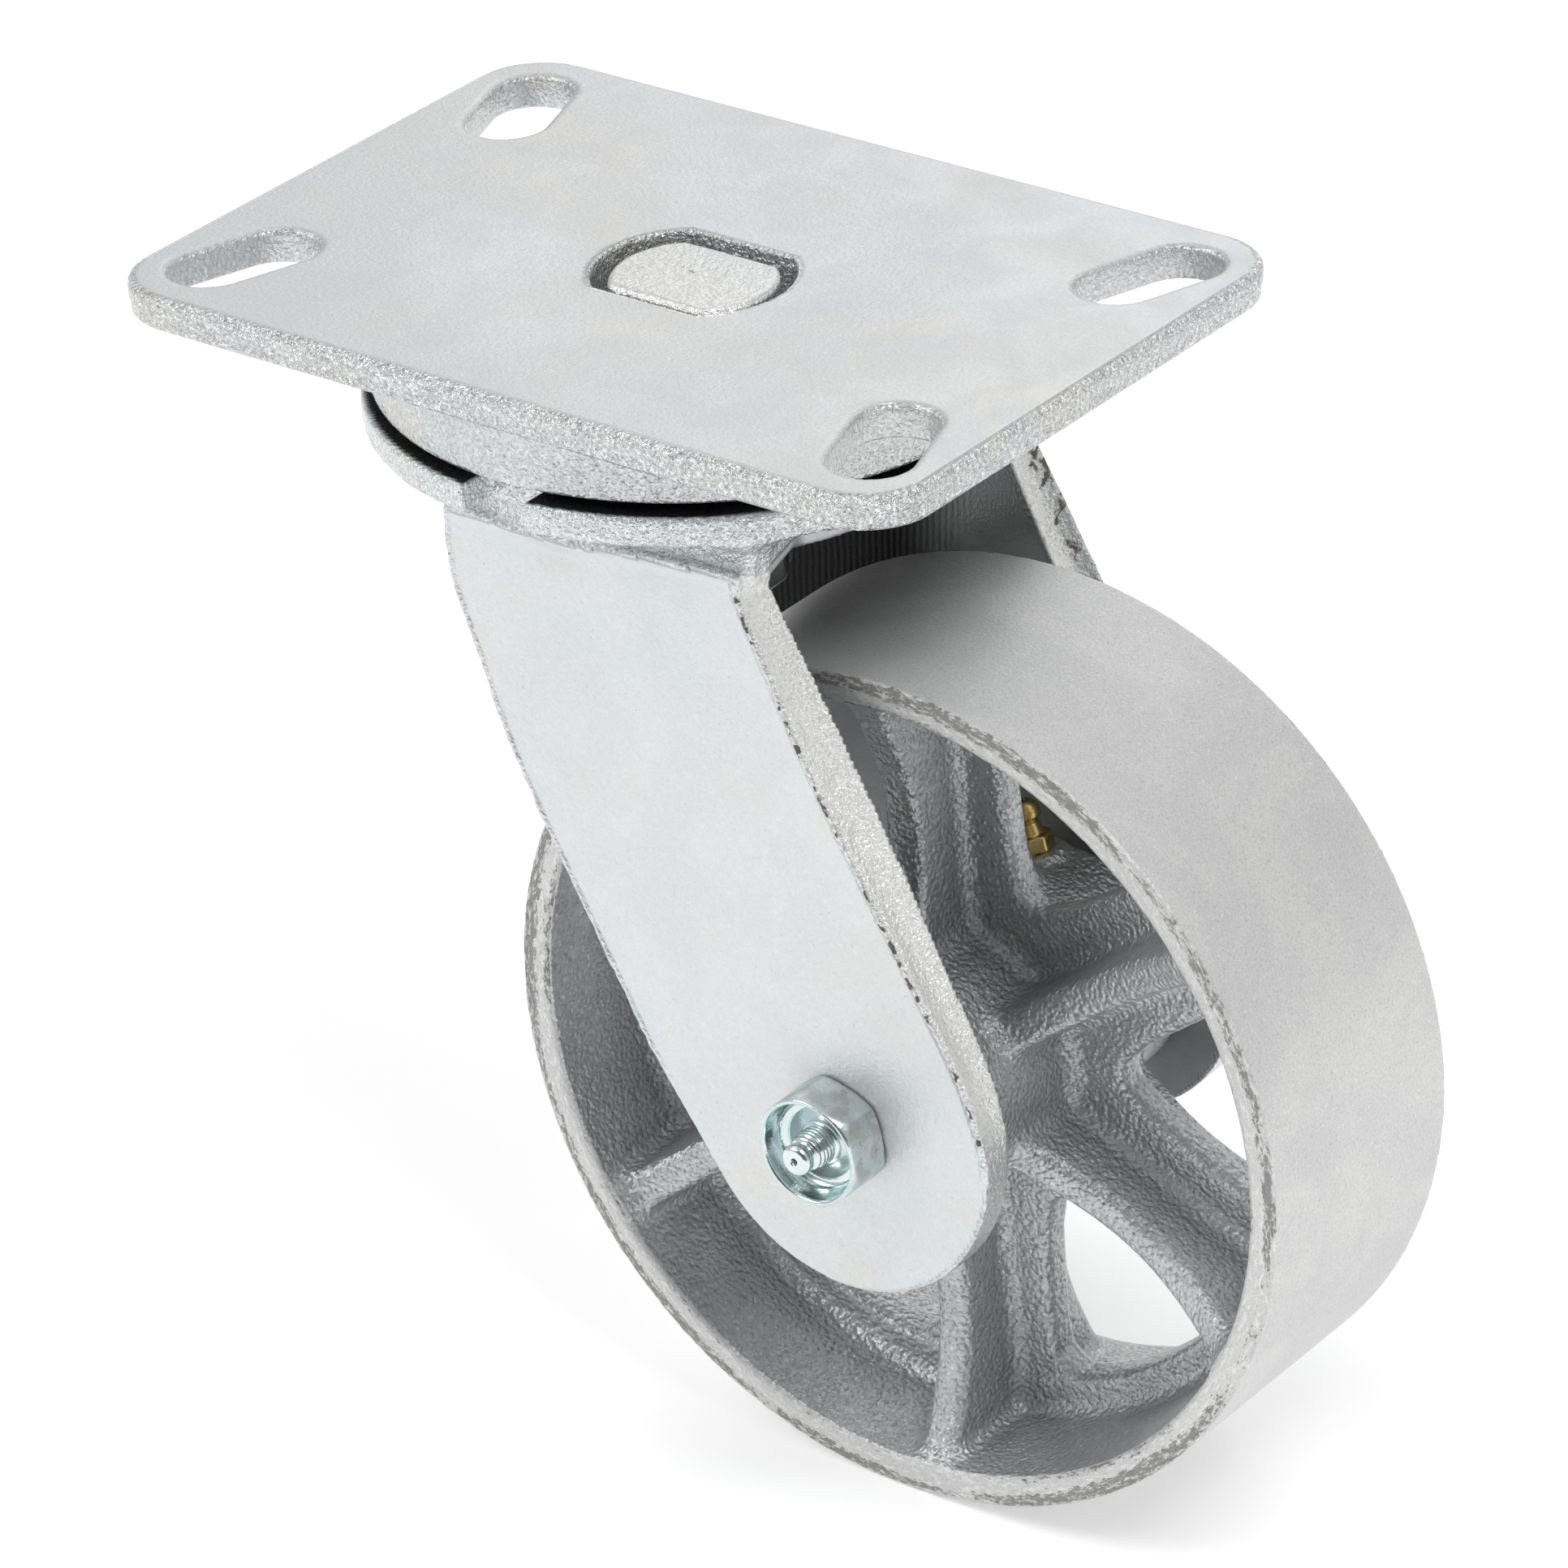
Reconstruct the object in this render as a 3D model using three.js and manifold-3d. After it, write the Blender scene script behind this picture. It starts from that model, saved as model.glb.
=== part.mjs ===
// Heavy-duty swivel caster: slotted top plate, forged double-ball swivel, welded fork,
// six-spoke cast wheel on a roller bearing. Millimetres, +Z up.
// Origin: swivel axis in the mounting face of the top plate. +X points from the swivel axis
// towards the wheel (the lead), +Y along the axle.
import * as THREE from "three";
import { mergeVertices } from "three/addons/utils/BufferGeometryUtils.js";
import Module from "manifold-3d";

const wasm = await Module();
wasm.setup();

// ---------------------------------------------------------------- driving dimensions (mm)
const GAP = 0.3; // clearance left between touching pieces

const PLATE_L = 158.75, PLATE_W = 114.3, PLATE_T = 6.35, PLATE_R = 12.7, PLATE_EDGE = 1.6;
const SLOT_X = 64.69, SLOT_Y = 36.9, SLOT_DX = 2.05, SLOT_DY = 6.3, SLOT_R = 7.15;
const DISH_D = 1.5, DISH_R = 50;

const HEAD_HOLE_R = 17.0, HEAD_HOLE_F = 13.4, HEAD_FLOOR = -9.0;
const HEAD_R = 14.2, HEAD_F = 11.2, HEAD_TOP = -1.7;
const KP_R = 9.5, KP_BOTTOM = -57.5;

const SKIRT_R = 53.8, SKIRT_IN_R = 47.2, SKIRT_Z = -17.3, CEIL_Z = -13.0;
const FLANGE_R = 55.4, CROWN_TOP = -19.0, FLANGE_Z = -24.0, CROWN_Z = -33.7;
const NOTCH_W = 12.3, NOTCH_R = 47.6;
const BALL_R = 4.7625, BALL_PITCH = 40.0, BALL_Z = -16.25, BALL_N = 14;
const LBALL_R = 3.175, LBALL_PITCH = 17.5, LBALL_Z = -35.6, LBALL_N = 10;
const LRACE_TOP = -37.3, LRACE_Z = -42.0, LRACE_R = 24.0;
const NUT_TOP = -42.3, NUT_Z = -55.5, NUT_AF = 28.6;

const LEG_IN = 33.0, LEG_OUT = 39.4, LEG_TOP = -34.0;
const AX = 53.2, AZ = -127.0; // axle position: swivel lead and axle drop
const LEG_END_R = 29.5;
const AXLE_R = 6.35, AXLE_HOLE_R = 6.65;

const WHEEL_R = 76.2, WHEEL_W = 50.8, RIM_IN_R = 70.9, RIM_MID_R = 69.4;
const HUB_R = 21.0, HUB_W = 61.0, HUB_BORE_R = 15.1;
const WEB_T = 3.0, RING_IN_R = 63.2, SPOKE_TURN = 4.8;
const BUSH_R = 9.5, BUSH_IN_R = 6.65;
const ROLLER_R = 2.45, ROLLER_PITCH = 12.3, ROLLER_L = 46, ROLLER_N = 10;

const D = Math.PI / 180;
const V2 = (x, y) => new THREE.Vector2(x, y);

// ---------------------------------------------------------------- solids
// Any closed three.js geometry as a manifold solid, faces turned outwards.
function solid(geometry) {
  const src = geometry.index ? geometry.toNonIndexed() : geometry;
  const g = new THREE.BufferGeometry().setAttribute("position", src.getAttribute("position").clone());
  const m = mergeVertices(g, 1e-4);
  const idx = [];
  for (let i = 0; i < m.index.count; i += 3) {
    const a = m.index.getX(i), b = m.index.getX(i + 1), c = m.index.getX(i + 2);
    if (a !== b && b !== c && c !== a) idx.push(a, b, c);
  }
  const make = (tri) => new wasm.Manifold(new wasm.Mesh({
    numProp: 3, vertProperties: new Float32Array(m.attributes.position.array), triVerts: new Uint32Array(tri),
  }));
  let s = make(idx);
  if (s.volume() < 0) {
    for (let i = 0; i < idx.length; i += 3) [idx[i + 1], idx[i + 2]] = [idx[i + 2], idx[i + 1]];
    s = make(idx);
  }
  return s;
}
const sum = (list) => list.reduce((a, b) => a.add(b));

// Revolve a list of [r, z] about +Z.
const lathe = (pts, seg = 48) => solid(new THREE.LatheGeometry(pts.map(([r, z]) => V2(r, z)), seg).rotateX(90 * D));
// Revolve a list of [r, y] about +Y, centred on the axle.
const latheY = (pts, seg = 48) => solid(new THREE.LatheGeometry(pts.map(([r, y]) => V2(r, y)), seg).translate(AX, 0, AZ));
const ring = (r0, r1, z0, z1, seg = 48) => lathe([[r0, z0], [r1, z0], [r1, z1], [r0, z1], [r0, z0]], seg);
const disc = (r, z0, z1, seg = 48) => lathe([[0, z0], [r, z0], [r, z1], [0, z1]], seg);
const ringY = (r0, r1, y0, y1, seg = 40) => latheY([[r0, y0], [r1, y0], [r1, y1], [r0, y1], [r0, y0]], seg);
const discY = (r, y0, y1, seg = 40) => latheY([[0, y0], [r, y0], [r, y1], [0, y1]], seg);
const box = (x0, x1, y0, y1, z0, z1) =>
  solid(new THREE.BoxGeometry(x1 - x0, y1 - y0, z1 - z0).translate((x0 + x1) / 2, (y0 + y1) / 2, (z0 + z1) / 2));
const shapeOf = (pts) => new THREE.Shape(pts.map(([x, y]) => V2(x, y)));
// Outline in X-Y, from z0 to z1.
const prismZ = (pts, z0, z1) =>
  solid(new THREE.ExtrudeGeometry(shapeOf(pts), { depth: z1 - z0, bevelEnabled: false }).translate(0, 0, z0));
// Outline in X-Z, from y0 to y1, with an optional edge bevel inside the outline.
const prismY = (pts, y0, y1, bevel = 0) =>
  solid(new THREE.ExtrudeGeometry(shapeOf(pts), bevel
    ? { depth: y1 - y0 - 2 * bevel, bevelEnabled: true, bevelThickness: bevel, bevelSize: bevel, bevelOffset: -bevel, bevelSegments: 2 }
    : { depth: y1 - y0, bevelEnabled: false }).rotateX(90 * D).translate(0, y1 - bevel, 0));
// Outline in Y-Z, from x0 to x1.
const prismX = (pts, x0, x1) =>
  solid(new THREE.ExtrudeGeometry(shapeOf(pts), { depth: x1 - x0, bevelEnabled: false })
    .applyMatrix4(new THREE.Matrix4().makeBasis(new THREE.Vector3(0, 1, 0), new THREE.Vector3(0, 0, 1), new THREE.Vector3(1, 0, 0)))
    .translate(x0, 0, 0));
const arc = (cx, cy, r, a0, a1, n) =>
  Array.from({ length: n + 1 }, (_, i) => { const a = (a0 + ((a1 - a0) * i) / n) * D; return [cx + r * Math.cos(a), cy + r * Math.sin(a)]; });
const doubleD = (r, f, n = 6) => {
  const a = Math.asin(f / r) / D;
  return [...arc(0, 0, r, -a, a, n), ...arc(0, 0, r, 180 - a, 180 + a, n)];
};
const hexagon = (af, turn = 0) => Array.from({ length: 6 }, (_, i) => {
  const a = (60 * i + 30 + turn) * D, r = af / 2 / Math.cos(30 * D);
  return [r * Math.cos(a), r * Math.sin(a)];
});
const ball = (r, cx, cy, cz) => {
  const pts = arc(0, 0, r, -90, 90, 6).map(([x, y], i, all) => (i === 0 || i === all.length - 1 ? [0, y] : [x, y]));
  return lathe(pts, 8).translate([cx, cy, cz]);
};

const root = new THREE.Group();
root.name = "swivel_caster";
// Adds one manifold solid to the part as a named mesh.
function node(name, s, color, roughness, metalness) {
  const m = s.getMesh(), n = m.numProp, v = new Float32Array(m.numVert * 3);
  for (let i = 0; i < m.numVert; i++) v.set(m.vertProperties.subarray(i * n, i * n + 3), i * 3);
  const g = new THREE.BufferGeometry().setAttribute("position", new THREE.BufferAttribute(v, 3));
  g.setIndex(new THREE.BufferAttribute(new Uint32Array(m.triVerts), 1));
  g.computeVertexNormals();
  const mesh = new THREE.Mesh(g, new THREE.MeshStandardMaterial({ color, roughness, metalness }));
  mesh.name = name;
  root.add(mesh);
}
const ZINC = 0xc9cdd0, CAST = 0xa9acae, STEEL = 0x8d9093, BRASS = 0xb08d3e, BLUEZINC = 0xb8c8cf, BLACK = 0x2a2a2a;

// ---------------------------------------------------------------- top plate with its swivel boss
{
  const w = PLATE_L / 2, h = PLATE_W / 2, r = PLATE_R, b = PLATE_EDGE;
  const outline = [
    ...arc(w - r, h - r, r, 0, 90, 6), ...arc(-w + r, h - r, r, 90, 180, 6),
    ...arc(-w + r, -h + r, r, 180, 270, 6), ...arc(w - r, -h + r, r, 270, 360, 6),
  ];
  let s = solid(new THREE.ExtrudeGeometry(shapeOf(outline), {
    depth: PLATE_T - 2 * b, bevelEnabled: true, bevelThickness: b, bevelSize: b, bevelOffset: -b, bevelSegments: 2,
  }).translate(0, 0, -PLATE_T + b));
  // Boss: flares out of the plate, then a cylindrical skirt over the main ball row.
  const gr = BALL_R + GAP;
  const groove = arc(BALL_PITCH, BALL_Z, gr, 40, 140, 4); // from the outer side inwards
  s = s.add(lathe([
    [0, -3], [56.6, -3], [56.6, -PLATE_T], [54.9, -8.2], [53.9, -11], [SKIRT_R, SKIRT_Z + 0.7], [SKIRT_R - 0.7, SKIRT_Z],
    [SKIRT_IN_R, SKIRT_Z], [SKIRT_IN_R, CEIL_Z], ...groove, [33, CEIL_Z], [24, CEIL_Z], [22, -15.2], [0, -15.2],
  ], 44));
  // Shallow sunken centre around the kingpin head.
  const dish = [];
  for (let i = 0; i <= 4; i++) { const t = i / 4; dish.push([18 + (DISH_R - 18) * t, -DISH_D * (0.5 + 0.5 * Math.cos(Math.PI * t))]); }
  s = s.subtract(lathe([[0, -DISH_D], ...dish, [DISH_R, 2], [0, 2]], 36));
  // Key pocket for the kingpin head, then the shank bore.
  s = s.subtract(prismZ(doubleD(HEAD_HOLE_R, HEAD_HOLE_F), HEAD_FLOOR, 2));
  s = s.subtract(disc(KP_R + GAP, -20, 0, 32));
  // Four bolt slots.
  for (const sx of [-1, 1]) for (const sy of [-1, 1]) {
    const a = Math.atan2(sy * SLOT_DY, sx * SLOT_DX) / D, cx = sx * SLOT_X, cy = sy * SLOT_Y, dx = sx * SLOT_DX, dy = sy * SLOT_DY;
    s = s.subtract(prismZ([...arc(cx + dx, cy + dy, SLOT_R, a - 90, a + 90, 6), ...arc(cx - dx, cy - dy, SLOT_R, a + 90, a + 270, 6)], -12, 2));
  }
  node("top_plate", s, ZINC, 0.4, 0.8);
}

// ---------------------------------------------------------------- kingpin: keyed head, shank, threaded end
{
  const a = doubleD(HEAD_R, HEAD_F), b = doubleD(HEAD_R - 1.1, HEAD_F - 1.1);
  let s = prismZ(a, HEAD_FLOOR + GAP, HEAD_TOP - 1.1).add(prismZ(b, HEAD_FLOOR + 1, HEAD_TOP)).add(prismZ(doubleD(HEAD_R - 0.4, HEAD_F - 0.4), HEAD_FLOOR + 1, HEAD_TOP - 0.5));
  s = s.add(lathe([[0, HEAD_FLOOR + 3], [KP_R, HEAD_FLOOR + 3], [KP_R, KP_BOTTOM + 1.5], [KP_R - 1.5, KP_BOTTOM], [0, KP_BOTTOM]], 32));
  s = s.subtract(solid(new THREE.CylinderGeometry(1.8, 1.8, 60, 12).translate(0, 0, -53.2)));
  node("kingpin", s, STEEL, 0.35, 1);
}
// Castle nut under the lower race, locked by a cotter pin.
{
  let s = prismZ(hexagon(NUT_AF), NUT_Z, NUT_TOP).intersect(lathe([[0, NUT_Z - 1], [13.2, NUT_Z - 1], [13.6, NUT_Z], [17.5, NUT_Z + 2.4], [17.5, NUT_TOP - 1.6], [14.6, NUT_TOP + 0.4], [0, NUT_TOP + 0.4]], 36));
  s = s.subtract(disc(KP_R + GAP, NUT_Z - 2, NUT_TOP + 2, 32));
  for (let i = 0; i < 3; i++) s = s.subtract(box(-2.1, 2.1, -20, 20, NUT_Z - 2, NUT_Z + 4.6).rotate([0, 0, 60 * i]));
  node("kingpin_nut", s, STEEL, 0.4, 1);
  const pin = solid(new THREE.CylinderGeometry(1.45, 1.45, 38, 12).translate(0, 0, -53.2));
  const eye = solid(new THREE.TorusGeometry(2.6, 1.2, 8, 14).rotateY(90 * D).translate(0, 21.2, -53.2));
  node("cotter_pin", pin.add(eye), STEEL, 0.4, 1);
}
// Lower race, clamped between the kingpin nut and the lower ball row.
{
  const g = arc(LBALL_PITCH, LBALL_Z, LBALL_R + GAP, 180 + 37, 360 - 37, 4); // lower half of the ball track
  node("lower_race", lathe([
    [KP_R + GAP, LRACE_TOP], ...g.map(([r, z]) => [r, Math.min(z, LRACE_TOP)]), [LRACE_R - 1, LRACE_TOP], [LRACE_R, LRACE_TOP - 1], [LRACE_R, LRACE_Z + 0.8], [LRACE_R - 0.8, LRACE_Z], [KP_R + GAP, LRACE_Z], [KP_R + GAP, LRACE_TOP],
  ], 32), STEEL, 0.35, 1);
}
// Seal ring inside the skirt, over the main ball row's gap.
node("raceway_seal", ring(45.2, SKIRT_IN_R - GAP, -18.6, -14.4, 40), BLACK, 0.8, 0);

// ---------------------------------------------------------------- ball rows, each in its own retainer
function ballRow(prefix, n, r, pitch, z, r0, r1, t, seg) {
  let cage = ring(r0, r1, z - t / 2, z + t / 2, seg);
  for (let i = 0; i < n; i++) {
    const a = (360 * i) / n * D, x = pitch * Math.cos(a), y = pitch * Math.sin(a);
    cage = cage.subtract(disc(r + GAP, -t, t, 12).translate([x, y, z]));
    node(`${prefix}_ball_${String(i + 1).padStart(2, "0")}`, ball(r, x, y, z), 0xd8dadc, 0.15, 1);
  }
  node(`${prefix}_ball_cage`, cage, BRASS, 0.5, 0.6);
}
ballRow("main", BALL_N, BALL_R, BALL_PITCH, BALL_Z, 33.8, 44.9, 1.8, 32);
ballRow("lower", LBALL_N, LBALL_R, LBALL_PITCH, LBALL_Z, 13.2, 22.0, 1.1, 24);

// ---------------------------------------------------------------- fork crown
{
  const gr = BALL_R + GAP;
  // Upper ball track opens upwards in the crown, lower one opens downwards.
  const up = arc(BALL_PITCH, BALL_Z, gr, 180 + 33, 360 - 33, 4).map(([r, z]) => [r, Math.min(z, CROWN_TOP)]);
  const lo = arc(LBALL_PITCH, LBALL_Z, LBALL_R + GAP, 33, 147, 4).map(([r, z]) => [r, Math.max(z, CROWN_Z)]);
  const bore = KP_R + 2;
  let s = lathe([
    [bore, CROWN_TOP + 2.2], [26, CROWN_TOP + 2.2], [29, CROWN_TOP], ...up, [FLANGE_R - 0.8, CROWN_TOP], [FLANGE_R, CROWN_TOP - 0.8], [FLANGE_R, FLANGE_Z + 0.6],
    [FLANGE_R - 0.8, FLANGE_Z], [51.4, -24.6], [47.4, -25.9], [44.0, -28.2], [41.6, -31.0], [40.4, CROWN_Z], ...lo, [bore, CROWN_Z], [bore, CROWN_TOP + 2.2],
  ], 44);
  // Shoulders that carry the fork legs, rounded along their upper edge.
  const side = [[LEG_OUT, CROWN_Z], [LEG_OUT, -32], [38.6, -29.2], [36.6, -26.4], [33.5, -23], [0, -23], [-33.5, -23], [-36.6, -26.4], [-38.6, -29.2], [-LEG_OUT, -32], [-LEG_OUT, CROWN_Z]];
  const shoulder = prismX(side, -23.2, 36.4)
    .intersect(lathe([[0, -22], [FLANGE_R - 1, -22], [FLANGE_R - 1, -36], [0, -36]], 44))
    .subtract(disc(bore + 20, -40, -20, 32))
    .subtract(box(-60, 60, -28, 28, -40, -23.6));
  s = s.add(shoulder);
  // Swivel-lock notches, one each quarter turn, through the flange.
  for (let i = 0; i < 4; i++)
    s = s.subtract(box(NOTCH_R, 60, -NOTCH_W / 2, NOTCH_W / 2, FLANGE_Z - 0.6, CROWN_TOP + 2).rotate([0, 0, 90 * i]));
  node("fork_crown", s, ZINC, 0.4, 0.8);
}
// ---------------------------------------------------------------- fork legs
{
  const rear = [[-23.2, LEG_TOP], [-22.9, -41.7], [-21.6, -48.5], [-17.3, -59.7], [-13.0, -71.5], [-5.1, -87.6], [14.7, -123.4]];
  const end = arc(AX, AZ, LEG_END_R, 206, 360, 12);
  const front = [[82.3, -121.5], [81.2, -114.5], [78.8, -107.4], [74.6, -99.4], [65.6, -83.2], [58.0, -70.4], [50.4, -58.2], [44.4, -48.6], [38.6, -39.8], [36.4, LEG_TOP]];
  const outline = [...rear, ...end, ...front];
  for (const [name, sgn] of [["fork_leg_near", -1], ["fork_leg_far", 1]]) {
    const y0 = sgn < 0 ? -LEG_OUT : LEG_IN, y1 = sgn < 0 ? -LEG_IN : LEG_OUT;
    node(name, prismY(outline, y0, y1, 0.8).subtract(discY(AXLE_HOLE_R, -60, 60, 28)), ZINC, 0.4, 0.8);
  }
  // Fillet welds in the corner between crown and leg.
  for (const [name, sgn] of [["crown_weld_near", -1], ["crown_weld_far", 1]]) {
    const y = (v) => sgn * v, c = CROWN_Z - GAP, i = LEG_IN - GAP;
    node(name, prismX([[y(i), c], [y(i - 3.2), c], [y(i - 2.6), c - 1.5], [y(i - 1.4), c - 2.7], [y(i), c - 3.4]], -21, 34.5), ZINC, 0.5, 0.8);
  }
}

// ---------------------------------------------------------------- axle
{
  // Bolt along +Y: cupped hex head outside the near leg, blind grease drilling, threaded far end.
  const face = -48.4, seat = -LEG_OUT - GAP;
  const head = solid(new THREE.ExtrudeGeometry(shapeOf(hexagon(19.05, 12)), { depth: seat - face, bevelEnabled: false }).rotateX(90 * D).translate(AX, seat, AZ))
    .intersect(latheY([[0, face - 1], [8.6, face - 1], [9.5, face], [11.4, face + 1.6], [11.4, seat + 1], [0, seat + 1]], 36));
  let s = head.add(latheY([[0, face + 5], [AXLE_R, face + 5], [AXLE_R, 54.2], [AXLE_R - 1, 55.4], [0, 55.4]], 28));
  s = s.subtract(latheY([[0, face - 2], [8.4, face - 2], [8.1, face + 0.3], [7.3, face + 2.2], [6.7, face + 6.0], [0, face + 6.0]], 28));
  s = s.subtract(discY(2.4, face, -20, 16));
  node("axle_bolt", s, BLUEZINC, 0.25, 1);
  // Grease fitting standing in the cup.
  node("axle_grease_fitting", latheY([
    [0, face - 1.3], [1.5, face - 1.3], [2.45, face - 0.3], [2.45, face + 0.7], [1.75, face + 1.6], [1.9, face + 2.3], [2.9, face + 3.0], [3.1, face + 4.6], [3.6, face + 4.8], [3.6, face + 5.7], [2.1, face + 5.7], [2.1, face + 10], [0, face + 10],
  ], 20), BLUEZINC, 0.2, 1);
  // Lock nut outside the far leg.
  const n0 = LEG_OUT + GAP, n1 = n0 + 11.2;
  node("axle_nut", solid(new THREE.ExtrudeGeometry(shapeOf(hexagon(19.05, 12)), { depth: n1 - n0, bevelEnabled: false }).rotateX(90 * D).translate(AX, n1, AZ))
    .intersect(latheY([[0, n0 - 1], [10.6, n0], [11.4, n0 + 1], [11.4, n1 - 3.6], [9.4, n1 - 2.6], [8.6, n1], [0, n1]], 36))
    .subtract(discY(AXLE_HOLE_R, n0 - 2, n1 + 2, 28)), BLUEZINC, 0.3, 1);
  // Spanner bushing between the legs, on which the rollers run.
  node("spanner_bushing", ringY(BUSH_IN_R, BUSH_R, -LEG_IN + GAP, LEG_IN - GAP, 32), STEEL, 0.25, 1);
  for (const [name, sgn] of [["thrust_washer_near", -1], ["thrust_washer_far", 1]]) {
    const a = sgn * (HUB_W / 2 + GAP), b = sgn * (LEG_IN - GAP);
    node(name, ringY(BUSH_R + GAP, 17.5, Math.min(a, b), Math.max(a, b), 32), STEEL, 0.4, 1);
  }
}

// ---------------------------------------------------------------- wheel
{
  const e = WHEEL_W / 2, h = HUB_W / 2;
  const rim = latheY([
    [RIM_IN_R, -e], [WHEEL_R - 1.2, -e], [WHEEL_R, -e + 1.2], [WHEEL_R, e - 1.2], [WHEEL_R - 1.2, e], [RIM_IN_R, e], [RIM_MID_R, 5], [RIM_MID_R, -5], [RIM_IN_R, -e],
  ], 60);
  const hub = latheY([[HUB_BORE_R, -h], [HUB_R - 1, -h], [HUB_R, -h + 1], [HUB_R, h - 1], [HUB_R - 1, h], [HUB_BORE_R, h], [HUB_BORE_R, -h]], 32);
  // Web disc across the middle, six windows cut from it.
  let web = ringY(HUB_BORE_R + 2, RIM_MID_R + 2, -WEB_T, WEB_T, 60);
  const window = () => {
    // Centre line along +X: straight flanks that follow the spokes, rounded corners, outer edge round the rim.
    const flank = (r) => { const w = r < 31 ? 12.6 : 12.6 - (r - 31) * 0.06; return r * Math.sin(30 * D) - w * 1.0; };
    const up = [[33.5, 3.6], [36.5, 5.6]];
    const slope = (x) => Math.tan(30 * D) * x - 13.2 / Math.cos(30 * D) + (x - 31) * 0.06;
    const pts = [];
    for (const x of [36.5, 44, 51.5]) pts.push([x, slope(x)]);
    const c = [];
    for (const a of [14.5, 10, 5, 0]) c.push([RING_IN_R * Math.cos(a * D), RING_IN_R * Math.sin(a * D)]);
    const top = [[31.4, 0], [32.2, 2.2], ...pts, [56.2, slope(56) - 0.8], [59.2, 16.8], ...c];
    const low = top.slice(1, -1).reverse().map(([x, y]) => [x, -y]);
    return [...top, ...low];
  };
  const wOut = window();
  for (let i = 0; i < 6; i++)
    web = web.subtract(prismY(wOut, -8, 8).rotate([0, -(60 * i + SPOKE_TURN), 0]).translate([AX, 0, AZ]));
  // Ribs: stand out from both faces of the web, waisted between hub and rim.
  const crest = [[19, 18.4], [24, 17.4], [30, 15.6], [38, 14.6], [48, 14.8], [58, 17.2], [65, 20.2], [70.4, 22.6]];
  const section = [...crest, ...crest.slice().reverse().map(([r, y]) => [r, -y])];
  const rib = solid(new THREE.ExtrudeGeometry(shapeOf(section), {
    depth: 5.4, bevelEnabled: true, bevelThickness: 0.8, bevelSize: 0.9, bevelOffset: -0.9, bevelSegments: 1,
  }).translate(0, 0, -2.7));
  const foot = prismZ([[19, 3], [19, 8], [70.4, 8], [70.4, 3], [70.4, -3], [70.4, -8], [19, -8], [19, -3]].map(([x, y]) => [x, y * 0.75]), -5.6, 5.6);
  let s = sum([rim, web]).add(hub);
  for (let i = 0; i < 6; i++) {
    const turn = -(60 * i + 30 + SPOKE_TURN);
    s = s.add(rib.add(foot).rotate([0, turn, 0]).translate([AX, 0, AZ]));
  }
  s = s.subtract(discY(HUB_BORE_R, -40, 40, 32));
  // Tapped boss hole for the hub grease fitting.
  const fa = 104.5, fy = 25.2, dir = [Math.cos(fa * D), Math.sin(fa * D)];
  const along = (g) => g.rotate([0, 90 - fa, 0]).translate([AX, fy, AZ]);
  s = s.subtract(along(disc(2.6, 13, 24, 16)));
  node("wheel", s, CAST, 0.55, 0.7);
  const fit = lathe([[0, 16.2], [2.2, 16.2], [2.2, 21.9], [3.9, 21.9], [3.9, 25.0], [2.5, 25.8], [2.3, 27.2], [2.8, 27.9], [2.8, 29.2], [2.1, 30.6], [0, 31.0]], 18)
    .intersect(prismZ(hexagon(7.0, 15), 10, 24.9).add(disc(3.2, 24.6, 34, 18)));
  node("hub_grease_fitting", along(fit), BRASS, 0.3, 1);
}
// Roller bearing between the bushing and the hub bore.
{
  const l = ROLLER_L / 2;
  let cage = ringY(11.3, 13.3, -l - 2, l + 2, 30);
  for (let i = 0; i < ROLLER_N; i++) {
    const a = ((360 * i) / ROLLER_N + 18) * D, x = ROLLER_PITCH * Math.cos(a), z = ROLLER_PITCH * Math.sin(a);
    cage = cage.subtract(solid(new THREE.CylinderGeometry(ROLLER_R + GAP, ROLLER_R + GAP, 2 * l + 2 * GAP, 10).translate(AX + x, 0, AZ + z)));
    node(`roller_${String(i + 1).padStart(2, "0")}`, solid(new THREE.CylinderGeometry(ROLLER_R, ROLLER_R, 2 * l, 10).translate(AX + x, 0, AZ + z)), 0xd8dadc, 0.2, 1);
  }
  node("roller_cage", cage, STEEL, 0.4, 1);
}

export default root;
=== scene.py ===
import math

import bpy
import numpy as np
from mathutils import Matrix, Vector


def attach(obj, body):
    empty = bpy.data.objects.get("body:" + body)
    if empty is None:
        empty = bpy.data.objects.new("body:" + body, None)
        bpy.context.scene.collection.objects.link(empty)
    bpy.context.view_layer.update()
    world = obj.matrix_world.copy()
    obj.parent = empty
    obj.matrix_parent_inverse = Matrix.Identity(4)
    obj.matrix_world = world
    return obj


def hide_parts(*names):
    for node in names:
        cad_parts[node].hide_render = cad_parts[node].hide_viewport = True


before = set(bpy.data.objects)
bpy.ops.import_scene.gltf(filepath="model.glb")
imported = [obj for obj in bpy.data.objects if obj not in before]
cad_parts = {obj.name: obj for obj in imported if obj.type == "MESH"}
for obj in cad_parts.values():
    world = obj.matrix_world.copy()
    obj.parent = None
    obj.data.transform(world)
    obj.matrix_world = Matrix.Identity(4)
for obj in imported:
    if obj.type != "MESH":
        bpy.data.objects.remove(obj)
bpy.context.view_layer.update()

MM = 0.001
DEG = math.pi / 180

# ------------------------------------------------------------------ dimensions (mm), the same as the CAD
PLATE_L, PLATE_W, PLATE_T, PLATE_R = 158.75, 114.3, 6.35, 12.7
SLOT_X, SLOT_Y, SLOT_DX, SLOT_DY, SLOT_R = 64.69, 36.9, 2.05, 6.3, 7.15
AX, AZ = 53.2, -127.0
LEG_IN, LEG_OUT = 33.0, 39.4
WHEEL_R, WHEEL_W = 76.2, 50.8
TURN = 4.8
F32 = np.float32

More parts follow.
